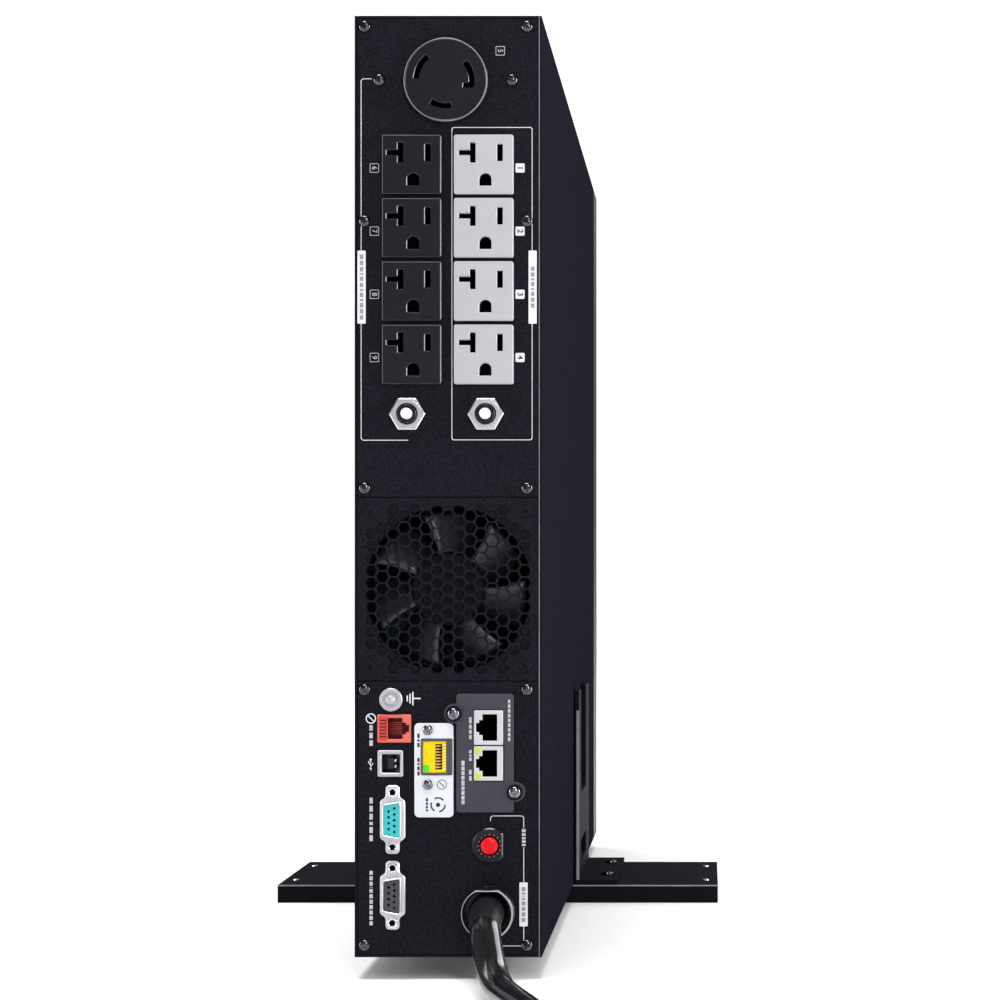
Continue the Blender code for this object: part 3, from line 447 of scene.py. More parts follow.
def put(name, data, finish, body="case", place=REAR_FACE, stands_for=()):
    """Add a piece, or a list of shapes as one piece; it rides on a body and may stand for CAD nodes."""
    if isinstance(data, list):
        data = joined(*data)
    obj = added(name, data)
    obj.matrix_world = place
    data.materials.clear()
    data.materials.append(FINISHES[finish])
    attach(obj, body)
    if obj.type == "MESH":
        obj.modifiers.new("Even normals", "WEIGHTED_NORMAL").keep_sharp = True
    if stands_for:
        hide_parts(*stands_for)
    return obj


def put_all(place, *rows, body="case"):
    """Pieces at one place; a row is a name, a shape, a finish and the CAD nodes that it stands for."""
    for name, shape, finish, *nodes in rows:
        put(name, shape, finish, body, place, nodes)


def centre_of(node):
    """(x, height) of a CAD node's middle on the rear."""
    low, high = box(node)
    return (low.x + high.x) / 2, (low.z + high.z) / 2 - BOTTOM


def on(node):
    """The frame of the rear face about a CAD node's middle."""
    return REAR_FACE @ at(*centre_of(node))


def repaint(node, finish):
    """Give a CAD node a finish; its shape stays."""
    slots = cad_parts[node].data.materials
    slots.clear()
    slots.append(FINISHES[finish])


# Screws

def cross_head(radius, height, recess=0.55):
    """A pan head with a cross recess, its underside at level 0."""
    profile = ((0, 0), (0.95, 0), (1, 0.16), (0.97, 0.42), (0.86, 0.68), (0.66, 0.88), (0.38, 0.98),
        (0, 1.02))
    body = lathe([(radius * out, height * up) for out, up in profile], sides=36, angle=50)
    arm, half = radius * recess, radius * 0.13
    quarter = [(half, half), (half, arm), (-half, arm)]
    cross = [point for turn in range(4) for point in turned(quarter, 90 * turn)]
    return carved(body, slab([cross], height * 0.3, height * 1.6))


def screws(name, places, radius, height, finish="dark_steel", level=0, face=REAR_FACE):
    """Identical screws at (x, height) places, each turned a little differently."""
    head = cross_head(radius, height)
    heads = [placed(head, at(u, v, level, 17 + 37 * i)) for i, (u, v) in enumerate(places)]
    put(name, shaded(joined(*heads), 50), finish, place=face)


def make_screws():
    heights = (428, 338.5, 215.7, 123, 5.5)
    corners = [(x, height) for height in heights for x in (-38.4, 36.3)]
    screws("panel_screws", corners, 2.7, 1.6)
    screws("locking_outlet_screws", [(-31.7, 403.4), (29.3, 403.4)], 2.8, 1.9)
    x, height = centre_of("fan_frame")
    fan = [(x + a, height + b) for a in (-35.75, 35.75) for b in (-35.75, 35.75)]
    screws("fan_screws", fan, 2.4, 0.9, "panel")
    screws("service_plate_screws", [(-9.2, 104.6), (-9.2, 79.5)], 2.4, 1.3, "dark_chrome", 1.2)


# Outlets

def outlet_slots():
    """The T slot, the straight slot and the earth hole of a 20 A outlet, about its centre."""
    long, half, arm, level = 4.6, 1.3, 6.4, 5.4
    tee = [(half, long), (-half, long), (-half, 1.2), (-arm, 1.2), (-arm, -1.2), (-half, -1.2),
        (-half, -long), (half, -long)]
    earth = arc((0.8, -6.8), 2.8, 0, 180, 16) + [(-2, -9.8), (3.6, -9.8)]
    return [softened(shifted(tee, (-5, level)), 0.2), rounded(2.6, 7.9, 0.3, (7.5, level)),
        softened(earth, 0.2)]


def widened(outline, by):
    """A hole's outline grown outwards from its middle, for a bevelled lip."""
    middle = sum((Vector(point) for point in outline), Vector((0, 0))) / len(outline)
    grown = []
    for point in outline:
        away = Vector(point) - middle
        grown.append(tuple(middle + away + away.normalized() * by))
    return grown


def rim_light(outline, share, shift, low, high):
    """A thin lip inside an outline for a painted highlight, wider on its right side by twice the shift."""
    outer = [(u * 0.985, v * 0.985) for u, v in outline]
    inner = [(u * share - shift, v * share) for u, v in outline]
    return slab([outer, inner], low, high)


def make_outlets():
    """Four grey and four black outlets; the black ones have a painted highlight on their edge."""
    side, body, proud = 27.3, centred((0, 0), 25, 25), 3.6
    holes = outlet_slots()
    face = slab([rounded(side, side, 1.1), *holes], 0.3, proud, 0.36)
    # The well behind the slots is near black: painted shade.
    well = joined(slab([body, *[widened(hole, 0.2) for hole in holes]], -9, 0.4), slab([body], -20, -8.8))
    half = side / 2 - 0.4
    # A pale strip along the left, top and right of a black outlet's edge: painted highlight.
    lip = slab([ribbon([(-half, -half), (-half, half), (half, half), (half, -half)], 0.3)], 3, proud + 0.04)
    for number in (1, 2, 3, 4, 6, 7, 8, 9):
        node = f"outlet_{number}"
        finish = "grey_plastic" if number < 5 else "black_plastic"
        put_all(on(node), (f"{node}_face", face.copy(), finish, node), (f"{node}_well", well.copy(), "painted_hole_shade"))
        if number > 5:
            put_all(on(node), (f"{node}_lip", lip.copy(), "dim_painted_highlight"))


def make_locking_outlet():
    name, rim, low, proud, behind = "locking_outlet", 19.7, 0.3, 4, circle((0, 0), 17.5, 48)
    neutral = arc((0, 0), 10.8, 43, -7, 12) + [(8.1, -1.4), (7.9, -3.6), (12.6, -3.6)]
    neutral += arc((0, 0), 13.3, -16, 43, 12)
    slots = (neutral, ring_sector(11.9, 2.4, 236, 282), ring_sector(13.5, 2.4, 127, 178))
    holes = [softened(outline, 0.2, 2) for outline in slots]
    face = slab([circle((0, 0), rim - 1, 72), *holes], low, proud, 0.3)
    edge = lathe([(rim - 1.2, low), (rim, low), (rim, proud - 0.8), (rim - 0.3, proud - 0.1),
        (rim - 0.8, proud + 0.2), (rim - 1.3, proud + 0.1), (rim - 1.5, proud - 0.4)], sides=72, angle=60)
    # The well behind the slots is near black, painted shade; the pale ring inside the rim, wider on its
    # right, is a painted highlight.
    well = [slab([behind, *[widened(hole, 0.2) for hole in holes]], -13, 0.6), slab([behind], -22, -12.8)]
    lip = rim_light(circle((0, 0), rim - 0.3, 72), 0.967, 0.1, proud - 0.4, proud + 0.26)
    put_all(on(name), (f"{name}_face", [face, edge], "black_plastic", name), (f"{name}_well", well, "painted_hole_shade"),
        (f"{name}_lip", lip, "bright_painted_highlight"))


# Breakers

def make_breakers():
    flats, proud = 14.4, 4.3
    nut = joined(slab([hexagon(flats / math.sqrt(3), 0.6), circle((0, 0), 4.7)], 0.3, proud - 0.4, 0.4),
        lathe([(6.8, proud - 0.9), (6.6, proud), (5, proud), (4.7, proud - 0.6), (4.7, proud - 1)],
        sides=48))
    thread = [(4.3 + 0.25 * k, 0.6 + 0.9 * turn + 0.45 * k) for turn in range(5) for k in (0, 1)]
    collar = lathe([(4.3, 0.2), *thread, (4.4, 5), (4.1, 5.3), (3.2, 5.3), (3, 4.9), (3, -5), (0, -5)])
    case = block((-7.5, -7.5, -26), (7.5, 7.5, -1.8), 0.5)
    button = lathe([(0, -4), (2.6, -4), (2.6, 7.4), (2.4, 8.1), (1.8, 8.4), (1.2, 8.45), (0.9, 8.2),
        (0, 8.1)], sides=32)
    for side in ("left", "right"):
        place, node = on(f"breaker_nut_{side}"), f"breaker_button_{side}"
        put_all(place, (f"hexagon_nut_{side}", nut.copy(), "plated_steel", f"breaker_nut_{side}"),
            (f"breaker_collar_{side}", shaded(joined(collar, case)), "black_plastic",
            f"circuit_breaker_{side}"))
        put(f"breaker_push_{side}", button.copy(), "white_plastic", node, place, [node])


def make_input_breaker():
    radius, flat, proud = 8.1, 6.2, 3
    start = math.degrees(math.acos(flat / radius))
    ring = slab([arc((0, 0), radius, start, 360 - start, 44), circle((0, 0), 4.4, 40)], 0.3, proud, 0.6)
    inner = lathe([(5.6, 2.6), (5.5, 3.4), (4.6, 3.4), (4.3, 2.9), (4.3, -6), (0, -6)])
    body = lathe([(0, -20), (6, -20), (6, 0.6), (4.6, 0.6)], sides=32)
    mark = block((4.8, -0.12, 3.3), (5.5, 0.12, 3.45))
    # A pale strip along the ring's flat: painted highlight.
    lip = slab([ribbon([(flat - 0.4, -4.3), (flat - 0.4, 4.3)], 0.4)], 2.6, proud + 0.05)
    cap = lathe([(0, -5), (3.9, -5), (3.9, 5), (3.7, 5.7), (3.2, 6.1), (2.2, 6.2), (0, 6)])
    place = on("reset_button")
    put_all(place, ("input_breaker_ring", [ring, inner, body], "black_plastic", "input_breaker"),
        ("input_breaker_marks", [placed(mark, at(0, 0, 0, 22.5 * i)) for i in range(16)], "grey_ink"),
        ("input_breaker_highlight_lip", lip, "bright_painted_highlight"))
    put("reset_push", cap, "red_plastic", "reset_button", place, ["reset_button"])


# Fan

def make_fan():
    low, high = box("fan_rotor")
    back, front = REAR - high.y, REAR - low.y
    place = on("fan_rotor")
    root, tip, blades, points, phase, sweep = 16.2, 36, 7, 9, 0.49, 0.2
    edit = bmesh.new()
    for blade in range(blades):
        rows = []
        for i in range(points):
            share = i / (points - 1)
            radius = root + (tip - root) * share
            pitch = math.radians(48 - 16 * share)
            chord = 21.5 + 6 * share
            row = []
            for j in range(points):
                s = j / (points - 1) - 0.5
                camber = 2 * (1 - 4 * s * s)
                tangent = s * chord * math.cos(pitch) - camber * math.sin(pitch)
                level = (back + front) / 2 + s * chord * math.sin(pitch) + camber * math.cos(pitch)
                angle = 2 * math.pi * blade / blades + tangent / radius + sweep * share + phase
                row.append(edit.verts.new((*polar((0, 0), radius, math.degrees(angle)), level)))
            rows.append(row)
        for first, second in zip(rows, rows[1:]):
            for j in range(points - 1):
                edit.faces.new((first[j], first[j + 1], second[j + 1], second[j]))
    vanes = put("fan_blades", from_edit(edit, 60), "fan_plastic", "fan", place)
    thick = vanes.modifiers.new("Thickness", "SOLIDIFY")
    thick.thickness = 1.1 * MM
    thick.offset = 0
    hub = lathe([(0, back), (15, back), (17, back + 0.6), (17, front - 2.2), (16.4, front - 0.6),
        (15.2, front), (11, front), (10.6, front - 0.2), (0, front - 0.2)], sides=56)
    put("fan_hub", hub, "hub_plastic", "fan", place, ["fan_rotor"])
    put("fan_hub_label", cylinder(10.4, front - 0.3, front + 0.1), "hub_plastic", "fan", place)
    repaint("fan_frame", "hub_plastic")


# Signal connectors

def jack_opening(width):
    """The stepped opening of a modular jack, its latch notch towards +x."""
    half = width / 2
    steps = [(-4, -half), (2.8, -half), (2.8, -half * 0.56), (4.4, -half * 0.56), (4.4, -half * 0.34),
        (5.8, -half * 0.34)]
    return softened(steps + [(u, -v) for u, v in reversed(steps)], 0.15, 2)


def modular_jack(node, width, side, proud, frame_finish, inner_finish, wires_finish, contacts=8, extra=(),
        body="case", shift=0):
    """A modular jack: its frame, the lining of its opening, and its sprung contacts."""
    low, high = box(node)
    size = (high.x - low.x, high.z - low.z)
    mouth, back = shifted(jack_opening(width), (shift, 0), side), centred((0, 0), *size)
    face = slab([rounded(*size, 0.5), mouth, *extra], 0.2 if proud > 1 else -0.6, proud, 0.25)
    lining = [slab([back, widened(mouth, 0.1)], -11.5, proud - 0.8), slab([back], -15, -11.3)]
    tilt = moved(-side * 0.4, 0, -6) @ Matrix.Rotation(-side * math.radians(38), 4, "Y")
    wires = [placed(block((-4, v - 0.22, -0.3), (4.2, v + 0.22, 0.1)), tilt) for v in spaced(contacts, 1.02)]
    put_all(on(node), (f"{node}_frame", face, frame_finish, node), (f"{node}_lining", lining, inner_finish),
        (f"{node}_contacts", wires, wires_finish), body=body)


def make_off_jack():
    node = "emergency_off_jack"
    combs = [centred((-5.1, v), 3.2, 0.7) for v in spaced(6, 1.5)]
    # The dark red lining of the opening and the darker orange field over the combs are painted shade.
    modular_jack(node, 9.7, 1, 0.8, "orange_plastic", "red_painted_shade", "orange_plastic", 6, combs, shift=1)
    field = slab([rounded(4, 11.2, 0.3, (-5.05, 0)), *combs], 0.7, 0.88)
    put("emergency_off_field", field, "orange_painted_shade", place=on(node))


def make_usb_port():
    centre = (0.2, 0)
    shell = slab([rounded(11.7, 12.2, 0.8), rounded(8.6, 8.6, 0.6, centre)], -16, 0.8, 0.3)
    mouth = softened([(-3.7, -4.1), (1.8, -4.1), (4.1, -1.8), (4.1, 1.8), (1.8, 4.1), (-3.7, 4.1)], 0.2)
    filling = centred(centre, 8.8, 8.8)
    inner = [slab([filling, mouth], -14, 0.1, 0.1), slab([filling], -15, -11),
        slab([rounded(3.2, 5.2, 0.3, centre)], -12, -1.2, 0.2)]
    pads = [block((1.7, v - 0.6, -10), (2.5, v + 0.6, -1.4), 0.1) for v in (-1.3, 1.3)]
    put_all(on("usb_port"), ("usb_shell", shell, "satin_nickel", "usb_port"),
        ("usb_insert", inner, "black_plastic"), ("usb_contacts", pads, "plated_steel"))


def serial_flange():
    lug, lug_end, body, body_end = 3.2, 15.8, 5.8, 10.4
    quarter = [(body, 0), (body, body_end - 1.8), (lug, body_end), (lug, lug_end)]
    upper = quarter + [(-u, v) for u, v in reversed(quarter)]
    outline = upper + [(u, -v) for u, v in reversed(upper[1:-1])]
    return softened([point for point in outline if point[1] or point[0] > 0], 2)


def serial_shell(inset):
    half, long_half, short_half = 4.4 - inset, 8.7 - inset, 7.3 - inset
    return softened([(half, -long_half), (half, long_half), (-half, short_half), (-half, -short_half)],
        1.8 - inset)


def make_serial_port(node, insert_finish):
    lugs = [(0, -12.6), (0, 12.6)]
    shell = [slab([serial_flange(), *[circle(lug, 1.6, 24) for lug in lugs]], 0.3, 1.5, 0.45),
        slab([serial_shell(0), serial_shell(0.6)], 1, 6, 0.25), slab([centred((0, 0), 8, 16)], -10, 1.2)]
    pins = [(1.2, v) for v in spaced(5, 2.7)] + [(-1.4, v) for v in spaced(4, 2.7)]
    insert = slab([serial_shell(0.7), *[circle(pin, 0.62, 16) for pin in pins]], 1.2, 5, 0.1)
    jack = slab([hexagon(2.8, 0.2, 30), circle((0, 0), 1.4, 24)], 1.3, 2.9, 0.2)
    bores = [lathe([(0, 0.4), (1.45, 0.4), (1.45, 0.9), (0, 0.9)], lug, 20) for lug in lugs]
    # The near-black sockets round the insert and bores in the jackscrew holes are painted shade.
    put_all(on(node), (f"{node}_shell", shell, "bright_nickel", node),
        (f"{node}_insert", insert, insert_finish),
        (f"{node}_sockets", slab([serial_shell(1.2)], 1.1, 2.2), "painted_hole_shade"),
        (f"{node}_jackscrews", [placed(jack, at(*lug)) for lug in lugs], "plated_steel"),
        (f"{node}_bores", bores, "painted_hole_shade"))


def make_ground_stud():
    place = on("ground_stud")
    washer = lathe([(1.4, 0.3), (5.3, 0.3), (5.3, 1.1), (4.9, 1.5), (3.6, 1.5), (3.2, 1.1), (1.4, 1.1)],
        sides=56, angle=30)
    dome = lathe([(0, -9), (2.3, -9), (2.3, 2.8), (2, 3.6), (1.3, 4.1), (0, 4.2)], angle=50)
    put("ground_terminal", [washer, dome], "satin_nickel", place=place, stands_for=["ground_stud"])


def make_service_card():
    middle, jack = centre_of("service_plate"), centre_of("service_jack")
    low, high = box("service_plate")
    outline = softened(centred((0, 0), high.x - low.x, high.z - low.z), 2.4, 8)
    hole = centred((jack[0] - middle[0], jack[1] - middle[1]), 14.3, 16.6)
    plate = slab([outline, hole], 0.3, PLATE_TOP, 0.3)
    put("service_plate_face", plate, "white_plate", place=on("service_plate"), stands_for=["service_plate"])

    inside = centred((-0.9, 0), 10.9, 14.6)
    shield = slab([rounded(13.9, 16.2, 0.6), inside], -15, 1.8, 0.12)
    lining = [slab([inside, centred((1, 0), 3.4, 11.8)], -6, 1.2, 0.2), slab([inside], -14, -10)]
    tilt = at(1, 0, -0.8) @ Matrix.Rotation(math.radians(24), 4, "Y")
    wires = [placed(block((-1.8, v - 0.34, -0.3), (1.8, v + 0.34, 0.1)), tilt) for v in spaced(8, 1.4)]
    ribs = [block((2.7, v - 0.4, 1), (4.4, v + 0.4, 1.4), 0.1) for v in spaced(9, 1.4)]
    leds = [block((-6, v - 1.6, 0.8), (-3.3, v + 1.6, 1.5), 0.3) for v in (-5.2, 5.2)]
    # The near-black depth piece is painted shade; the lining's glow and the paler, glowing ribs are painted
    # light.
    put_all(on("service_jack"), ("service_jack_shield", shield, "charcoal_plastic", "service_jack"),
        ("service_jack_lining", lining, "yellow_plastic"),
        ("service_jack_depth", slab([centred((1, 0), 3.6, 12)], -5.8, -2.4), "painted_hole_shade"),
        ("service_jack_contacts", wires, "brass"), ("service_jack_ribs", ribs, "yellow_painted_highlight"),
        ("service_jack_led_lower", leds[0], "green_led"),
        ("service_jack_led_upper", leds[1], "yellow_plastic"))


def make_network_card():
    body = "network_card"
    jacks, ears = [[f"{kind}_{end}" for end in ("upper", "lower")]
        for kind in ("network_jack", "thumbscrew")]
    low, high = box(jacks[0])
    holes = [centred(centre_of(jack), high.x - low.x + 0.6, high.z - low.z + 0.6) for jack in jacks]
    plate = [slab([softened(centred((17.05, 93.95), 26.3, 54.5), 1.6, 6), *holes], 0.3, CARD_TOP, 0.3)]
    plate += [slab([circle(centre_of(ear), 4.6, 48), circle(centre_of(ear), 2.2, 24)], 0.4, 1.3, 0.3)
        for ear in ears]
    put("network_plate_face", plate, "card_plate", body, stands_for=["network_plate"])
    # The openings of the network jacks are lined in near black: painted shade.
    for jack in jacks:
        modular_jack(jack, 12.2, -1, 1.9, "jack_white", "painted_hole_shade", "dark_steel", body=body)
    for name, v in (("lower", -5.9), ("upper", 5.9)):
        led = block((-6.1, v - 1.4, 1.4), (-3.4, v + 1.4, 2.05), 0.2)
        put(f"network_led_{name}", led, "lime_led", body, on(jacks[1]))
    teeth, outer, inner = 28, 3.7, 3.45
    knurl = [polar((0, 0), outer if i % 2 else inner, 180 * i / teeth) for i in range(2 * teeth)]
    grip = [slab([knurl], 1.8, 4.4, 0.3), cylinder(1.3, -7, 2, 24)]
    dome = placed(cross_head(2.8, 1.6, 0.62), at(0, 0, 4.4, 20))
    for ear in ears:
        put_all(on(ear), (f"{ear}_grip", grip, "cover", ear), (f"{ear}_head", dome.copy(), "dark_chrome"),
            body=body)
    make_network_board()


def make_network_board():
    """Parts on the card's board, which show when the card is drawn out."""
    repaint("network_board", "circuit_board")
    low, high = box("network_board")
    face, foot, far = low.x + 1.6, low.z - BOTTOM, REAR - high.y
    chips, pins = [], []
    for out, level, deep, tall in ((-24, 10, 8, 8), (-36, 34, 12, 6), (-88, 14, 10, 12), (-90, 36, 6, 6)):
        v = foot + level
        chips.append(block((face, v - tall / 2, out - deep / 2), (face + 1.1, v + tall / 2, out + deep / 2),
            0.1))
        for edge in (v - tall / 2 - 0.4, v + tall / 2 + 0.4):
            for w in [out + k * deep / 6 for k in (-2, -1, 0, 1, 2)]:
                pins.append(block((face, edge - 0.4, w - 0.2), (face + 0.3, edge + 0.4, w + 0.2)))
    can = lathe([(0, 0), (1.9, 0), (1.9, 3.6), (1.7, 3.9), (0, 3.9)], sides=24)
    cans = [placed(can, moved(face, foot + 26, out) @ TO_SIDE) for out in (-30, -80, -100)]
    fingers = [block((face - 1.8, v, far + 0.5), (face + 0.05, v + 1.1, far + 7))
        for v in [foot + 5 + 1.6 * k for k in range(24)]]
    for name, parts, finish in (("chips", chips, "charcoal_plastic"), ("pins", pins, "plated_steel"),
            ("capacitors", cans, "plated_steel"), ("fingers", fingers, "brass")):
        put(f"network_board_{name}", parts, finish, "network_card")


# Printed marks

# Width of a printed line, gap between bars, and levels of the ink and of the faces it lies on
LINE = 0.3
WORD_GAP = 0.7
PLATE_TOP, CARD_TOP = 1.2, 1.5
INK_LOW, INK_HIGH = -0.02, 0.05


def printed(name, outlines, finish="ink", level=0, face=REAR_FACE, body="case"):
    """Flat marks; each outline is a list of points, or a list of outlines with holes."""
    shapes = [outline if isinstance(outline[0], list) else [outline] for outline in outlines]
    put(name, [slab(shape, level + INK_LOW, level + INK_HIGH) for shape in shapes], finish, body, face)


def bars(centre, along, thickness, lengths):
    """Plain bars in place of a word, one after another, reading downwards."""
    u, v = centre
    scale = along / (sum(lengths) + WORD_GAP * (len(lengths) - 1))
    start = v + along / 2
    result = []
    for length in lengths:
        result.append(centred((u, start - length * scale / 2), thickness, length * scale))
        start -= (length + WORD_GAP) * scale
    return result


def words(*rows):
    return [bar for row in rows for bar in bars(*row)]


def digit(number, centre, size, finish, level=0, bold=0):
    """The plain number of an outlet, turned to read downwards."""
    name = f"outlet_number_{number}"
    curve = bpy.data.curves.new(name, "FONT")
    curve.body = str(number)
    curve.size = size
    curve.align_x, curve.align_y = "CENTER", "CENTER"
    curve.extrude = 0.03
    curve.offset = bold
    helper = bpy.data.objects.new(name, curve)
    mesh = bpy.data.meshes.new_from_object(helper)
    bpy.data.objects.remove(helper)
    bpy.data.curves.remove(curve)
    mesh.transform(Matrix.Scale(MM, 4))
    put(name, mesh, finish, place=REAR_FACE @ at(*centre, level, -90))


def make_outlet_legends():
    left = [(-35.2, 404), (-39.2, 404), (-40, 403.2), (-40, 238.6), (-39.2, 237.8), (-18.3, 237.8)]
    right = [rounded(37.2 - thin, 144 - thin, 1.2, (20.2, 309.8)) for thin in (0, 2 * LINE)]
    printed("outlet_group_lines", [ribbon(left, LINE), right])
    labels = [(-39.8, 308.2), (38.9, 308.2)]
    printed("outlet_group_labels", [rounded(3.8, 33.6, 0.4, centre) for centre in labels], level=0.03)
    printed("outlet_group_words", words((labels[0], 30, 1.6, (2, 2, 2, 0.8, 2, 2, 1, 2, 1, 2, 2, 2)),
        (labels[1], 19, 1.6, (2, 2, 1, 2, 1, 2, 2, 2))), "grey_ink", 0.07)
    tags, filled = [], []
    for number in (5, 6, 7, 8, 9, 1, 2, 3, 4):
        x, height = 33.1 if number < 5 else -33.9, 416.9
        if number == 5:
            x = 24
        else:
            height = centre_of(f"outlet_{number}")[1] - 1.2
        tag = rounded(4.2, 4.2, 0.6, (x, height))
        if number < 5:
            filled.append(tag)
            digit(number, (x, height), 3.6, "dark_ink", 0.06, 0.08)
        else:
            tags.append([tag, rounded(3.7, 3.7, 0.4, (x, height))])
            digit(number, (x, height), 3.4, "thin_ink")
    printed("outlet_tags", tags, "thin_ink")
    printed("outlet_filled_tags", filled)


def no_entry(centre, radius, width, reach, bar):
    """A ring with a slanting bar."""
    u, v = centre
    ring = [circle(centre, radius, 32), circle(centre, radius - width, 32)]
    return [ring, ribbon([(u - reach, v + reach), (u + reach, v - reach)], bar)]


def make_signal_legends():
    ground = [centred((u, 119), *size) for u, *size in
        ((-18.8, 0.6, 2.8), (-17.5, 0.6, 4.4), (-16.2, 0.6, 6.2), (-14.3, 3.4, 0.6))]
    usb = [ribbon([(0, -1.8), (0, 1.9)], 0.3), circle((0, 2.4), 0.5, 16),
        ribbon([(0, -0.7), (0.9, 0.2), (0.9, 0.9)], 0.3),
        ribbon([(0, -0.1), (-0.9, 0.8), (-0.9, 1.2)], 0.3), centred((-0.9, 1.4), 0.6, 0.6),
        [(-0.5, -1.5), (0, -2.6), (0.5, -1.5)]]
    usb = [shifted(mark, (-35.6, 88.5)) for mark in usb]
    printed("signal_symbols", [*ground, *no_entry((-35.5, 109.8), 2.4, 0.5, 1.3, 0.5), *usb])
    printed("signal_words",
        words(((-35.4, 102), 9.5, 1.6, (2, 2, 2)), ((-35.4, 63.4), 20, 1.5, (2, 2, 2, 1, 2, 2)),
        ((-35.4, 27.2), 25, 1.5, (2, 2, 2, 0.2, 2, 2, 2, 2, 2, 2, 2))), "thin_ink")


def make_input_legends():
    path = arc((20.7, 63.8), 1.2, 180, 90, 4) + arc((33.6, 63.8), 1.2, 90, 0, 4)
    lines = [[(19.5, 62.7), *path, (34.8, 59.6)], [(34.8, 50.6), (34.8, 34)], [(34.8, 14.5), (34.8, 6.6)],
        [(34, 5.2), (25.2, 5.2)]]
    label = (34.7, 24.3)
    printed("input_lines", [ribbon(line, LINE) for line in lines])
    printed("input_label", [rounded(3.8, 20.2, 0.4, label)], level=0.03)
    printed("input_words", bars(label, 16, 1.8, (2, 1, 0.3, 1, 2, 2, 2, 2)), "grey_ink", 0.07)
    printed("reset_word", bars((34.8, 55.1), 7.8, 1.7, (2, 1.6, 1.4, 1.4, 1.2)), "thin_ink")


def make_card_legends():
    link = (-4.5, 70.2)
    drawing = [ribbon(arc(link, 3.2, start, start + 80, 8), 0.7) for start in (40, 160, 280)]
    service = words(((-13.5, 99.8), 6.2, 1.1, (2, 1, 2)), ((-13.5, 87.7), 8, 1.1, (2, 1, 2, 2)),
        ((-9.6, 70.2), 6, 1, (2, 1.5, 1.5, 1.2)))
    marks = [*service, *no_entry((-2.7, 79.5), 2.3, 0.3, 1.2, 0.4), *drawing, circle(link, 1, 20)]
    printed("service_words", marks, "dark_ink", PLATE_TOP)
    printed("network_words", words(((28.2, 109), 19, 1.1, (2,) * 9), ((10.4, 105.4), 10, 1.2, (3, 2, 2, 2)),
        ((10.4, 92.9), 5, 1.2, (2, 1, 2)), ((10.4, 83.8), 5, 1.2, (2, 2)),
        ((7, 80.5), 20, 1.4, (4, 3, 3, 3, 4, 3, 3, 3, 3))), "thin_ink", CARD_TOP, body="network_card")


# Mains lead

# Points of the lead: x, distance out of the rear panels, level above the floor
LEAD_ROUTE = ((19.2, 8.3, 31.9), (19.2, 15, 31.9), (19.3, 25, 31.2), (19.9, 35, 29), (21.1, 45, 25.2),
    (22.9, 55, 19.5), (25.3, 65, 13.8), (28.1, 75, 10), (31.1, 85, 7.8), (34.1, 95, 7.1), (44.6, 130, 7.1),
    (56.3, 170, 7.1), (67.1, 210, 7.1), (76.7, 248, 7.1), (82.8, 276, 7.1), (85.2, 290, 7.1),
    (89, 315, 7.1))
TAIL_ROUTE = ((25, 249, 21.3), (44.5, 250.8, 21.4), (62.5, 256.3, 21.6), (75, 262.4, 21.6),
    (89.3, 272.4, 21.6), (101.6, 284.7, 21.7), (111.6, 299, 22), (119, 314.8, 22.5), (123.5, 331.6, 23),
    (125, 348.7, 23.2))
CORD_RADIUS = 7
COIL_CENTRE = (-5, 345)
COIL_OUTER, COIL_INNER, COIL_PITCH = 96, 66, 14.2
LOWER_LEVEL, UPPER_LEVEL = 7.1, 21.3
STEPS_A_TURN = 24


def coil_points():
    """The wound lead: inwards on the floor, a long climb, then outwards on the first layer."""
    lower_turns = (COIL_OUTER - COIL_INNER) / COIL_PITCH
    climb_end = lower_turns + 0.5
    turns = 4.75
    points = []
    for i in range(round(turns * STEPS_A_TURN) + 1):
        turn = i / STEPS_A_TURN
        radius = COIL_OUTER - COIL_PITCH * turn
        if turn > lower_turns:
            radius = COIL_INNER + COIL_PITCH * max(0, turn - climb_end)
        climb = min(1, max(0, (turn - lower_turns) / (climb_end - lower_turns)))
        level = LOWER_LEVEL + (UPPER_LEVEL - LOWER_LEVEL) * (0.5 - 0.5 * math.cos(math.pi * climb))
        points.append((*polar(COIL_CENTRE, radius, 360 * turn), level))
    return points


def smooth_curve(name, points, radius, bevel_resolution):
    """A round tube on the smooth cubic curve through the points."""
    curve = bpy.data.curves.new(name, "CURVE")
    curve.dimensions = "3D"
    curve.resolution_u = 6
    curve.bevel_depth = radius * MM
    curve.bevel_resolution = bevel_resolution
    curve.use_fill_caps = True
    spline = curve.splines.new("BEZIER")
    spline.bezier_points.add(len(points) - 1)
    places = [Vector(point) * MM for point in points]
    for i, (knot, place) in enumerate(zip(spline.bezier_points, places)):
        before, after = places[max(i - 1, 0)], places[min(i + 1, len(places) - 1)]
        tangent = (after - before).normalized()
        knot.co = place
        knot.handle_left = place - tangent * (place - before).length / 3
        knot.handle_right = place + tangent * (after - place).length / 3
    return curve


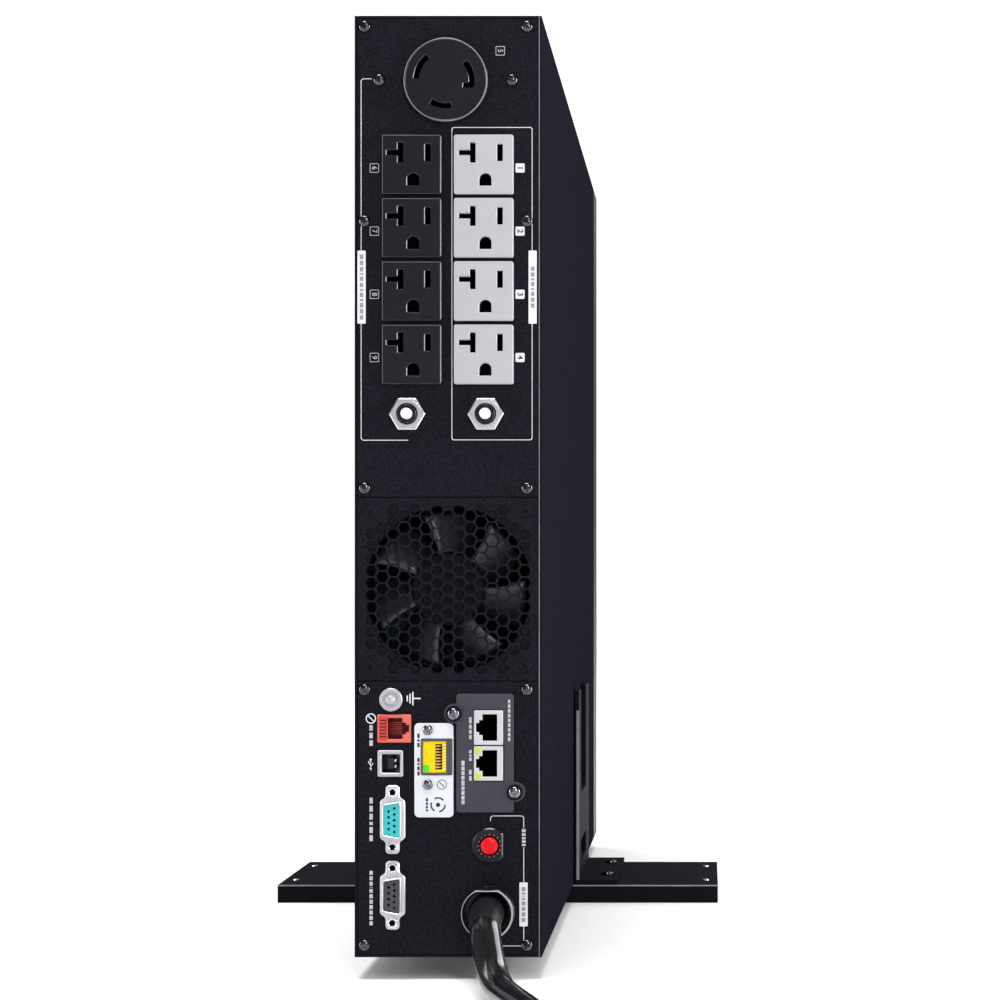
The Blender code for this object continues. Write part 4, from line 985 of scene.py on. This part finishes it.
def make_lead():
    route = [(x, REAR - distance, z) for x, distance, z in (*LEAD_ROUTE, *coil_points(), *TAIL_ROUTE)]
    cord = put("mains_lead", smooth_curve("mains_lead", route, CORD_RADIUS, 6), "cord_rubber", place=WORLD,
        stands_for=["input_cord", "input_cord_tail", "input_cord_coil"])
    pieces = [make_relief(), make_tie(), *make_plug()]
    x, y, z = route[0]
    return lambda gland: (cord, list(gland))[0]


def tube_along(points, radii):
    """A closed tube whose radius changes along its points."""
    edit = bmesh.new()
    rings = []
    sides = 28
    places = [Vector(point) for point in points]
    for i, (place, radius) in enumerate(zip(places, radii)):
        tangent = (places[min(i + 1, len(places) - 1)] - places[max(i - 1, 0)]).normalized()
        side = tangent.cross(Vector((0, 0, 1))).normalized()
        top = side.cross(tangent)
        rings.append([edit.verts.new(place + (side * math.cos(a) + top * math.sin(a)) * radius)
            for a in [2 * math.pi * k / sides for k in range(sides)]])
    for first, second in zip(rings, rings[1:]):
        for k in range(sides):
            edit.faces.new((first[k], first[(k + 1) % sides], second[(k + 1) % sides], second[k]))
    edit.faces.new(rings[0][::-1])
    edit.faces.new(rings[-1])
    return from_edit(edit, 40)


def make_relief():
    """The tapered sleeve where the lead leaves its gland."""
    route = [Vector((x, REAR - distance, z)) for x, distance, z in LEAD_ROUTE[:6]]
    places, radii = [], []
    steps = 36
    for step in range(steps + 1):
        share = step / steps
        position = share * 3.4
        i = min(int(position), len(route) - 2)
        t = position - i
        before, after = route[max(i - 1, 0)], route[min(i + 2, len(route) - 1)]
        a, b = route[i], route[i + 1]
        places.append(0.5 * ((2 * a) + (b - before) * t + (2 * before - 5 * a + 4 * b - after) * t**2
            + (3 * a - before - 3 * b + after) * t**3))
        radii.append(8.6 - 1.4 * min(1, share / 0.6) - 0.3 * max(0, share - 0.9) / 0.1)
    return put("lead_strain_relief", tube_along(places, radii), "relief_rubber", place=WORLD)


def make_tie():
    """A flat strap round the wound turns, with its buckle on top."""
    inner, outer, top, wall = COIL_INNER - 7.2, COIL_OUTER + 7.4, UPPER_LEVEL + 7.1, 0.8
    section = softened([(inner, 0.2), (outer, 0.2), (outer, top), (inner, top)], 7, 6)
    hole = softened([(inner + wall, 1), (outer - wall, 1), (outer - wall, top - 0.6),
        (inner + wall, top - 0.6)], 6.4, 6)
    ridges = [block((u, top - 0.4, -4.8), (u + wall, top, 4.8))
        for u in [COIL_INNER + 6 + 1.6 * i for i in range(8)]]
    x, distance = COIL_CENTRE
    turn = Matrix.Rotation(math.radians(-140), 4, "Z") @ Matrix.Rotation(math.pi / 2, 4, "X")
    place = moved(x, REAR - distance, 0) @ turn
    return put("lead_tie", [slab([section, hole], -6, 6, 0.2), *ridges], "charcoal_plastic", place=place)


def make_plug():
    """A locking plug: a ribbed grip, a flat face with three curved blades, and its cord clamp."""
    low, high = box("input_plug")
    place = facing_rear((low.x + high.x) / 2, REAR - 349.8, (low.z + high.z) / 2)
    body = lathe([(0, 0), (10, 0), (11.3, 0.8), (14.2, 8), (19, 18), (22.4, 24.5), (22.7, 26), (22.7, 40),
        (22, 40.5), (22, 42.5), (22.9, 43), (22.9, 53.6), (22, 54.9), (0, 54.9)], sides=64)
    rib = block((21.7, -1, 27.5), (23, 1, 39), 0.3)
    ribs = [placed(rib, at(0, 0, 0, 18 * i)) for i in range(20)]
    clamp = [block((-13.5, v - 1.4, 3), (13.5, v + 1.4, 9), 0.6) for v in (-12, 12)]
    blades = [ring_sector(13.5, 1.5, 127, 178), ring_sector(12.2, 1.5, -15, 45),
        ring_sector(12.5, 1.5, 233, 280)]
    metal = [slab([softened(outline, 0.3, 2)], 54, 75.8, 0.2) for outline in blades]
    upright = Matrix.Rotation(-math.pi / 2, 4, "X")
    heads = [placed(cross_head(1.9, 0.8), at(u, 13.4, 6) @ upright) for u in (-9, 9)]
    return [
        put("plug_shell", shaded(joined(body, *ribs, *clamp)), "black_plastic", place=place,
            stands_for=["input_plug"]),
        put("plug_face", cylinder(20, 54.8, 55.1, 56), "charcoal_plastic", place=place),
        put("plug_blades", metal, "brass", place=place),
        put("plug_screws", heads, "plated_steel", place=place)]


def make_gland():
    rim, length, floor, flat = 12, 15, 7.8, 10.8
    edge = math.degrees(math.asin(flat / rim))
    outline = arc((0, 0), rim, 180 - edge, 360 + edge, 52)
    collar = slab([outline, circle((0, 0), 10.4, 48)], 0.3, length, 0.7)
    cup = lathe([(0, 0.3), (10.6, 0.3), (10.6, floor), (9.2, floor), (8.8, floor - 0.6), (0, floor - 0.6)],
        sides=48)
    stem = lathe([(9, 1), (9, -14), (0, -14)])
    nut = slab([hexagon(12.6, 0.8), circle((0, 0), 9.2, 40)], -6, -1.6, 0.3)
    # A pale grey ring inside the collar's rim, wider on its right: painted highlight.
    lip = rim_light(outline, 0.94, 0.3, length - 0.8, length + 0.1)
    low, high = box("input_gland")
    # The gland's flat lowers the top of its box, so its axis is found from its width
    place = REAR_FACE @ at((low.x + high.x) / 2, low.z - BOTTOM + (high.x - low.x) / 2)
    return [put("gland_highlight_lip", lip, "grey_plastic", place=place),
        put("gland_collar", [collar, cup, stem, nut], "black_plastic", place=place,
        stands_for=["input_gland"])]


# Front: bezel, display and its keys

def display_centre():
    low, high = box("display_module")
    return -(low.x + high.x) / 2, (low.z + high.z) / 2 - BOTTOM


def make_front():
    repaint("bezel", "bezel_plastic")
    face = FRONT_FACE @ at(*display_centre())
    low, high = box("display_module")
    radius, depth = (high.x - low.x) / 2, high.y - low.y
    keys = {"scroll": (14, -17.5, 3.2, [[(-1.1, 0.6), (0, -1), (1.1, 0.6)]]),
        "enter": (-14, -17.5, 3.2, [circle((0, 0), 0.9, 20)]),
        "power": (0, -22.5, 4.8, [ribbon(arc((0, 0), 1.7, 125, 415, 20), 0.5),
            centred((0, 1.3), 0.5, 2.1)])}
    wells = [circle((x, z), size + 0.3, 32) for x, z, size, symbol in keys.values()]
    glass = rounded(43, 28, 1.5, (0, 5.5))
    disc = [slab([circle((0, 0), radius - 0.2, 72), glass, *wells], -7, 0, 0.6),
        slab([circle((0, 0), 26.8, 56)], -depth, -3.8),
        lathe([(radius - 1.6, -0.8), (radius - 1, 0), (radius, -1), (radius, -7.2), (26, -10.2),
        (24, -10.2)], sides=72, angle=50), slab([widened(glass, 0.4)], -4, -1.2)]
    put("display_disc", disc, "bezel_plastic", "display", face, ["display_module"])
    put("display_window", slab([widened(glass, -0.2)], -1.3, -0.4, 0.2), "glass", "display", face)
    marks = [centred((13.5 - 9 * i, 15.2), 6, 1.8) for i in range(4)]
    marks += [centred((15 - 2.4 * i, 6.6), 1.8, 4 + i % 4) for i in range(8)]
    marks += [[rounded(11, 6.2, 0.6, (-12.5, 6)), rounded(10.2, 5.4, 0.4, (-12.5, 6))]]
    marks += [centred((-16 + 2.4 * i, 6), 1.7, 4) for i in range(3)]
    marks += [centred((0, -4.2), 37.2, 0.9), centred((8, -6.3), 20, 1.2)]
    printed("display_pixels", marks, "pixel", -0.42, face, "display")
    ring = lathe([(29.2, -0.2), (29.6, 0.18), (30, 0.18), (30.4, -0.2)], sides=72)
    put("display_ring", ring, "grey_plastic", "display", face)
    for name, (x, z, size, symbol) in keys.items():
        cap = lathe([(0, -3.8), (size - 0.3, -3.8), (size - 0.2, -0.8), (size - 0.7, -0.3),
            (size * 0.55, -0.45), (0, -0.6)], angle=60)
        node = f"{name}_button"
        put(f"{node}_cap", cap, "grey_plastic", node, face @ at(x, z), [node])
    for name in ("power", "scroll", "enter"):
        x, z, size, symbol = keys[name]
        printed(f"{name}_symbol", symbol, "dark_ink", -0.52, face @ at(x, z), f"{name}_button")
    make_bezel_details()


def make_bezel_details():
    """A dust screen behind the air slots, a frame round the display and a status light."""
    face = moved(0, box("bezel")[1].y - FRONT, 0) @ FRONT_FACE
    trim = lathe([(34.1, -1.2), (34.1, 0.4), (34.6, 0.9), (35.2, 0.9), (35.8, 0.3), (35.8, -0.6)], sides=80,
        angle=50)
    put("bezel_display_trim", trim, "dark_steel", "bezel", face @ at(*display_centre()))
    pitch, wire, back, front, half, low, high = 1.9, 0.6, -4.6, -4.1, 32, 36, 286.5
    wires = [block((-half, v, back), (half, v + wire, front)) for v in [low + pitch * i for i in range(132)]]
    wires += [block((u, low, back), (u + wire, high, front)) for u in [pitch * i - 31.6 for i in range(34)]]
    put("bezel_dust_screen", wires, "charcoal_plastic", "bezel", face)
    put("bezel_status_light", slab([rounded(18, 1.6, 0.7, (0, 316))], -0.6, 0.2, 0.2), "blue_glow", "bezel",
        face)


# Inside: batteries, drawer, main board, transformer

def make_batteries():
    repaint("battery_tray", "cover")
    lids, terminals, labels, bars_printed = [], [], [], []
    cap = lathe([(7, 0), (6.8, 0.6), (5.6, 0.8), (5.2, 0.4), (0, 0.4)], sides=32)
    for number in range(1, 7):
        repaint(f"battery_{number}", "battery_case")
        low, high = box(f"battery_{number}")
        x, y, z = high.x, (low.y + high.y) / 2, (low.z + high.z) / 2
        lids.append(block((x - 16, low.y - 0.1, low.z - 0.1), (x - 14.8, high.y + 0.1, high.z + 0.1), 0.3))
        for side in (-1, 1):
            lids += [placed(cap, moved(x, y + side * 42, z + 26 * k) @ TO_SIDE) for k in (-1, 0, 1)]
            blade = y + side * 67
            terminals.append(block((x - 0.4, blade - 0.4, high.z - 18), (x + 1.2, blade + 0.4, high.z - 11),
                0.2))
        labels.append(block((x - 0.1, y - 26, z - 30), (x + 0.12, y + 26, z + 30)))
        for k in range(6):
            level = z + 22 - k * 8.8
            bars_printed.append(block((x, y - 21, level - 1.6),
                (x + 0.2, y + 21 - 5 * (k % 3), level + 1.6)))
    for name, parts, finish in (("lids", lids, "battery_case"), ("terminals", terminals, "plated_steel"),
            ("labels", labels, "label_paper"), ("label_bars", bars_printed, "dark_ink")):
        put(f"battery_{name}", parts, finish, "battery_drawer", WORLD)


def make_electronics():
    repaint("main_board", "circuit_board")
    x = box("main_board")[0].x + 1.6
    can = lathe([(0, 0), (12.5, 0), (12.5, 33), (12, 34.5), (10, 35), (0, 34.6)], sides=32)
    cans = [placed(can, moved(x, REAR + 62 + 30 * i, BOTTOM + 80) @ TO_SIDE) for i in range(4)]
    fins = [block((x, y, BOTTOM + 24), (x + 40, y + 1.5, BOTTOM + 80), 0.2)
        for y in [REAR + 140 + 6 * k for k in range(9)]]
    put("main_board_capacitors", cans, "charcoal_plastic", place=WORLD)
    put("main_board_heatsink", fins, "plated_steel", place=WORLD)
    repaint("transformer", "core_iron")
    low, high = box("transformer")
    turn = slab([rounded(2 * high.x + 0.4, 61.4, 6), rounded(64, 56, 4)], -0.5, 0.5, 0.3)
    turns = [placed(turn, facing_rear(0, low.y + 0.8 + 1.25 * k, (low.z + high.z) / 2)) for k in range(14)]
    put("transformer_winding", turns, "copper", place=WORLD)


# Case, stand

def make_case():
    for node in ("rear_outlet_panel", "rear_fan_panel", "rear_io_panel", "front_panel"):
        repaint(node, "panel")
    for node in ("cover", "chassis_pan"):
        repaint(node, "cover")
    for node in ("stand_foot", "stand_bracket_left", "stand_bracket_right"):
        repaint(node, "stand")
    low, high = box("cover")
    # A pale line along the cover's edge at the rear: painted highlight.
    hem = block((high.x - 1.25, REAR - 0.3, low.z + 0.2), (high.x - 0.9, REAR + 0.4, high.z - 0.2), 0.1)
    put("cover_hem_highlight", hem, "bright_painted_highlight", place=WORLD)


def make_stand_details():
    """Screws that hold the brackets to the foot, plugs in its holes, painted highlights on edges and rubber
    pads.
    """
    low, high = box("stand_foot")
    top, middle = high.z - low.z, (low.y + high.y) / 2
    base = moved(0, 0, low.z)
    bracket_top = box("stand_bracket_left")[0].z + 2.1
    places = [(side * 61, middle + step * 31) for side in (-1, 1) for step in (-1, 1)]
    screws("stand_bracket_screws", places, 3.4, 1.8, "dark_steel", bracket_top, WORLD)
    plug = [(2.1, top - 0.4), (2, top + 0.3), (1.4, top + 0.7), (0, top + 0.8)]
    plugs = [lathe(plug, (x, y), 24) for x in (-118, 118) for y in (low.y + 25, high.y - 25)]
    put("stand_foot_plugs", plugs, "plated_steel", place=base)
    # Pale strips on the foot's top front edge and on the brackets' near edges: painted highlights.
    edge_highlights = [block((low.x + 0.2, low.y - 0.1, top - 0.6), (high.x - 0.2, low.y + 0.3, top + 0.1))]
    for sign, side in ((-1, "left"), (1, "right")):
        start, end = box(f"stand_bracket_{side}")
        inner = min(abs(start.x), abs(end.x))
        near, far = sorted((sign * (inner + 0.9), sign * (inner + 2.4)))
        edge_highlights.append(block((near, start.y - 0.2, top + 3), (far, start.y + 0.2, start.z - low.z + 98.5)))
    put("stand_edge_highlights", edge_highlights, "bright_painted_highlight", place=base)
    pads = [block((x - 9, y - 9, 0.1), (x + 9, y + 9, 7.5), 1.2) for x in (-105, 105)
        for y in (low.y + 20, high.y - 20)]
    put("stand_foot_pads", pads, "cord_rubber", place=base)


# Room

def make_room():
    edit = bmesh.new()
    bmesh.ops.create_grid(edit, x_segments=8, y_segments=8, size=30)
    floor = added("floor", from_edit(edit, unit=1))
    floor.location.z = -0.0002
    surface("floor", (0.86, 0.86, 0.87), 0.8, specular=0.1, mottle=0.01, grain=300, glow=0.02)
    floor.data.materials.append(FINISHES["floor"])

    world = bpy.data.worlds.new("studio")
    bpy.context.scene.world = world
    world.use_nodes = True
    tree = world.node_tree
    tree.nodes.clear()
    output = tree.nodes.new("ShaderNodeOutputWorld")
    mix = tree.nodes.new("ShaderNodeMixShader")
    rays = tree.nodes.new("ShaderNodeLightPath")
    for socket, strength in ((1, 0.17), (2, 1.15)):
        background = tree.nodes.new("ShaderNodeBackground")
        set_inputs(background, {"Color": (1, 1, 1, 1), "Strength": strength})
        tree.links.new(background.outputs["Background"], mix.inputs[socket])
    tree.links.new(rays.outputs["Is Camera Ray"], mix.inputs["Fac"])
    tree.links.new(mix.outputs["Shader"], output.inputs["Surface"])

    sun = bpy.data.lights.new("sky_light", "SUN")
    sun.energy = 3.4
    sun.angle = math.radians(32)
    add_light("sky_light", sun, (-0.2, -0.4, 3), (0, 0, 0))
    rear = REAR * MM
    for name, place, target, width, height, power in (
            ("right", (1.6, rear - 0.25, 0.55), (0, -0.3, 0.25), 0.35, 0.95, 24),
            ("left", (-1.4, rear - 0.3, 0.4), (0, rear - 0.05, 0.1), 0.3, 0.7, 9),
            ("rear", (0.5, rear - 1.9, 1), (0, -0.3, 0.2), 0.3, 1.3, 15),
            ("front_left", (-1.6, 2.1, 1.8), (0, 0.3, 0.2), 1.2, 1.6, 24),
            ("front_right", (1.3, 2.3, 1.5), (0, 0.3, 0.2), 1.2, 1.6, 22)):
        light = bpy.data.lights.new(f"{name}_softbox", "AREA")
        light.shape = "RECTANGLE"
        light.size, light.size_y, light.energy = width, height, power
        add_light(f"{name}_softbox", light, place, target)


def add_light(name, light, place, target):
    lamp = added(name, light)
    lamp.location = place
    lamp.rotation_euler = (Vector(target) - Vector(place)).to_track_quat("-Z", "Y").to_euler()


def make_camera():
    camera = added("camera", bpy.data.cameras.new("camera"))
    camera.location = (0.12, REAR * MM - 1.215, 0.186)
    camera.rotation_euler = (math.pi / 2, 0, 0)
    camera.data.sensor_width = 36
    camera.data.lens = 95.1
    camera.data.shift_x = -0.209
    camera.data.shift_y = 0.075
    camera.data.clip_end = 50
    bpy.context.scene.camera = camera


make_camera()
declare_cord = make_lead()
make_case()
make_outlets()
make_locking_outlet()
make_breakers()
make_input_breaker()
make_fan()
make_ground_stud()
make_off_jack()
make_usb_port()
make_serial_port("serial_port", "teal_plastic")
make_serial_port("dry_contact_port", "charcoal_plastic")
make_service_card()
make_network_card()
gland = make_gland()
make_screws()
make_outlet_legends()
make_signal_legends()
make_input_legends()
make_card_legends()
make_front()
make_batteries()
make_electronics()
make_stand_details()
make_room()
bpy.context.scene.view_settings.view_transform = "Standard"
declare_cord(gland)
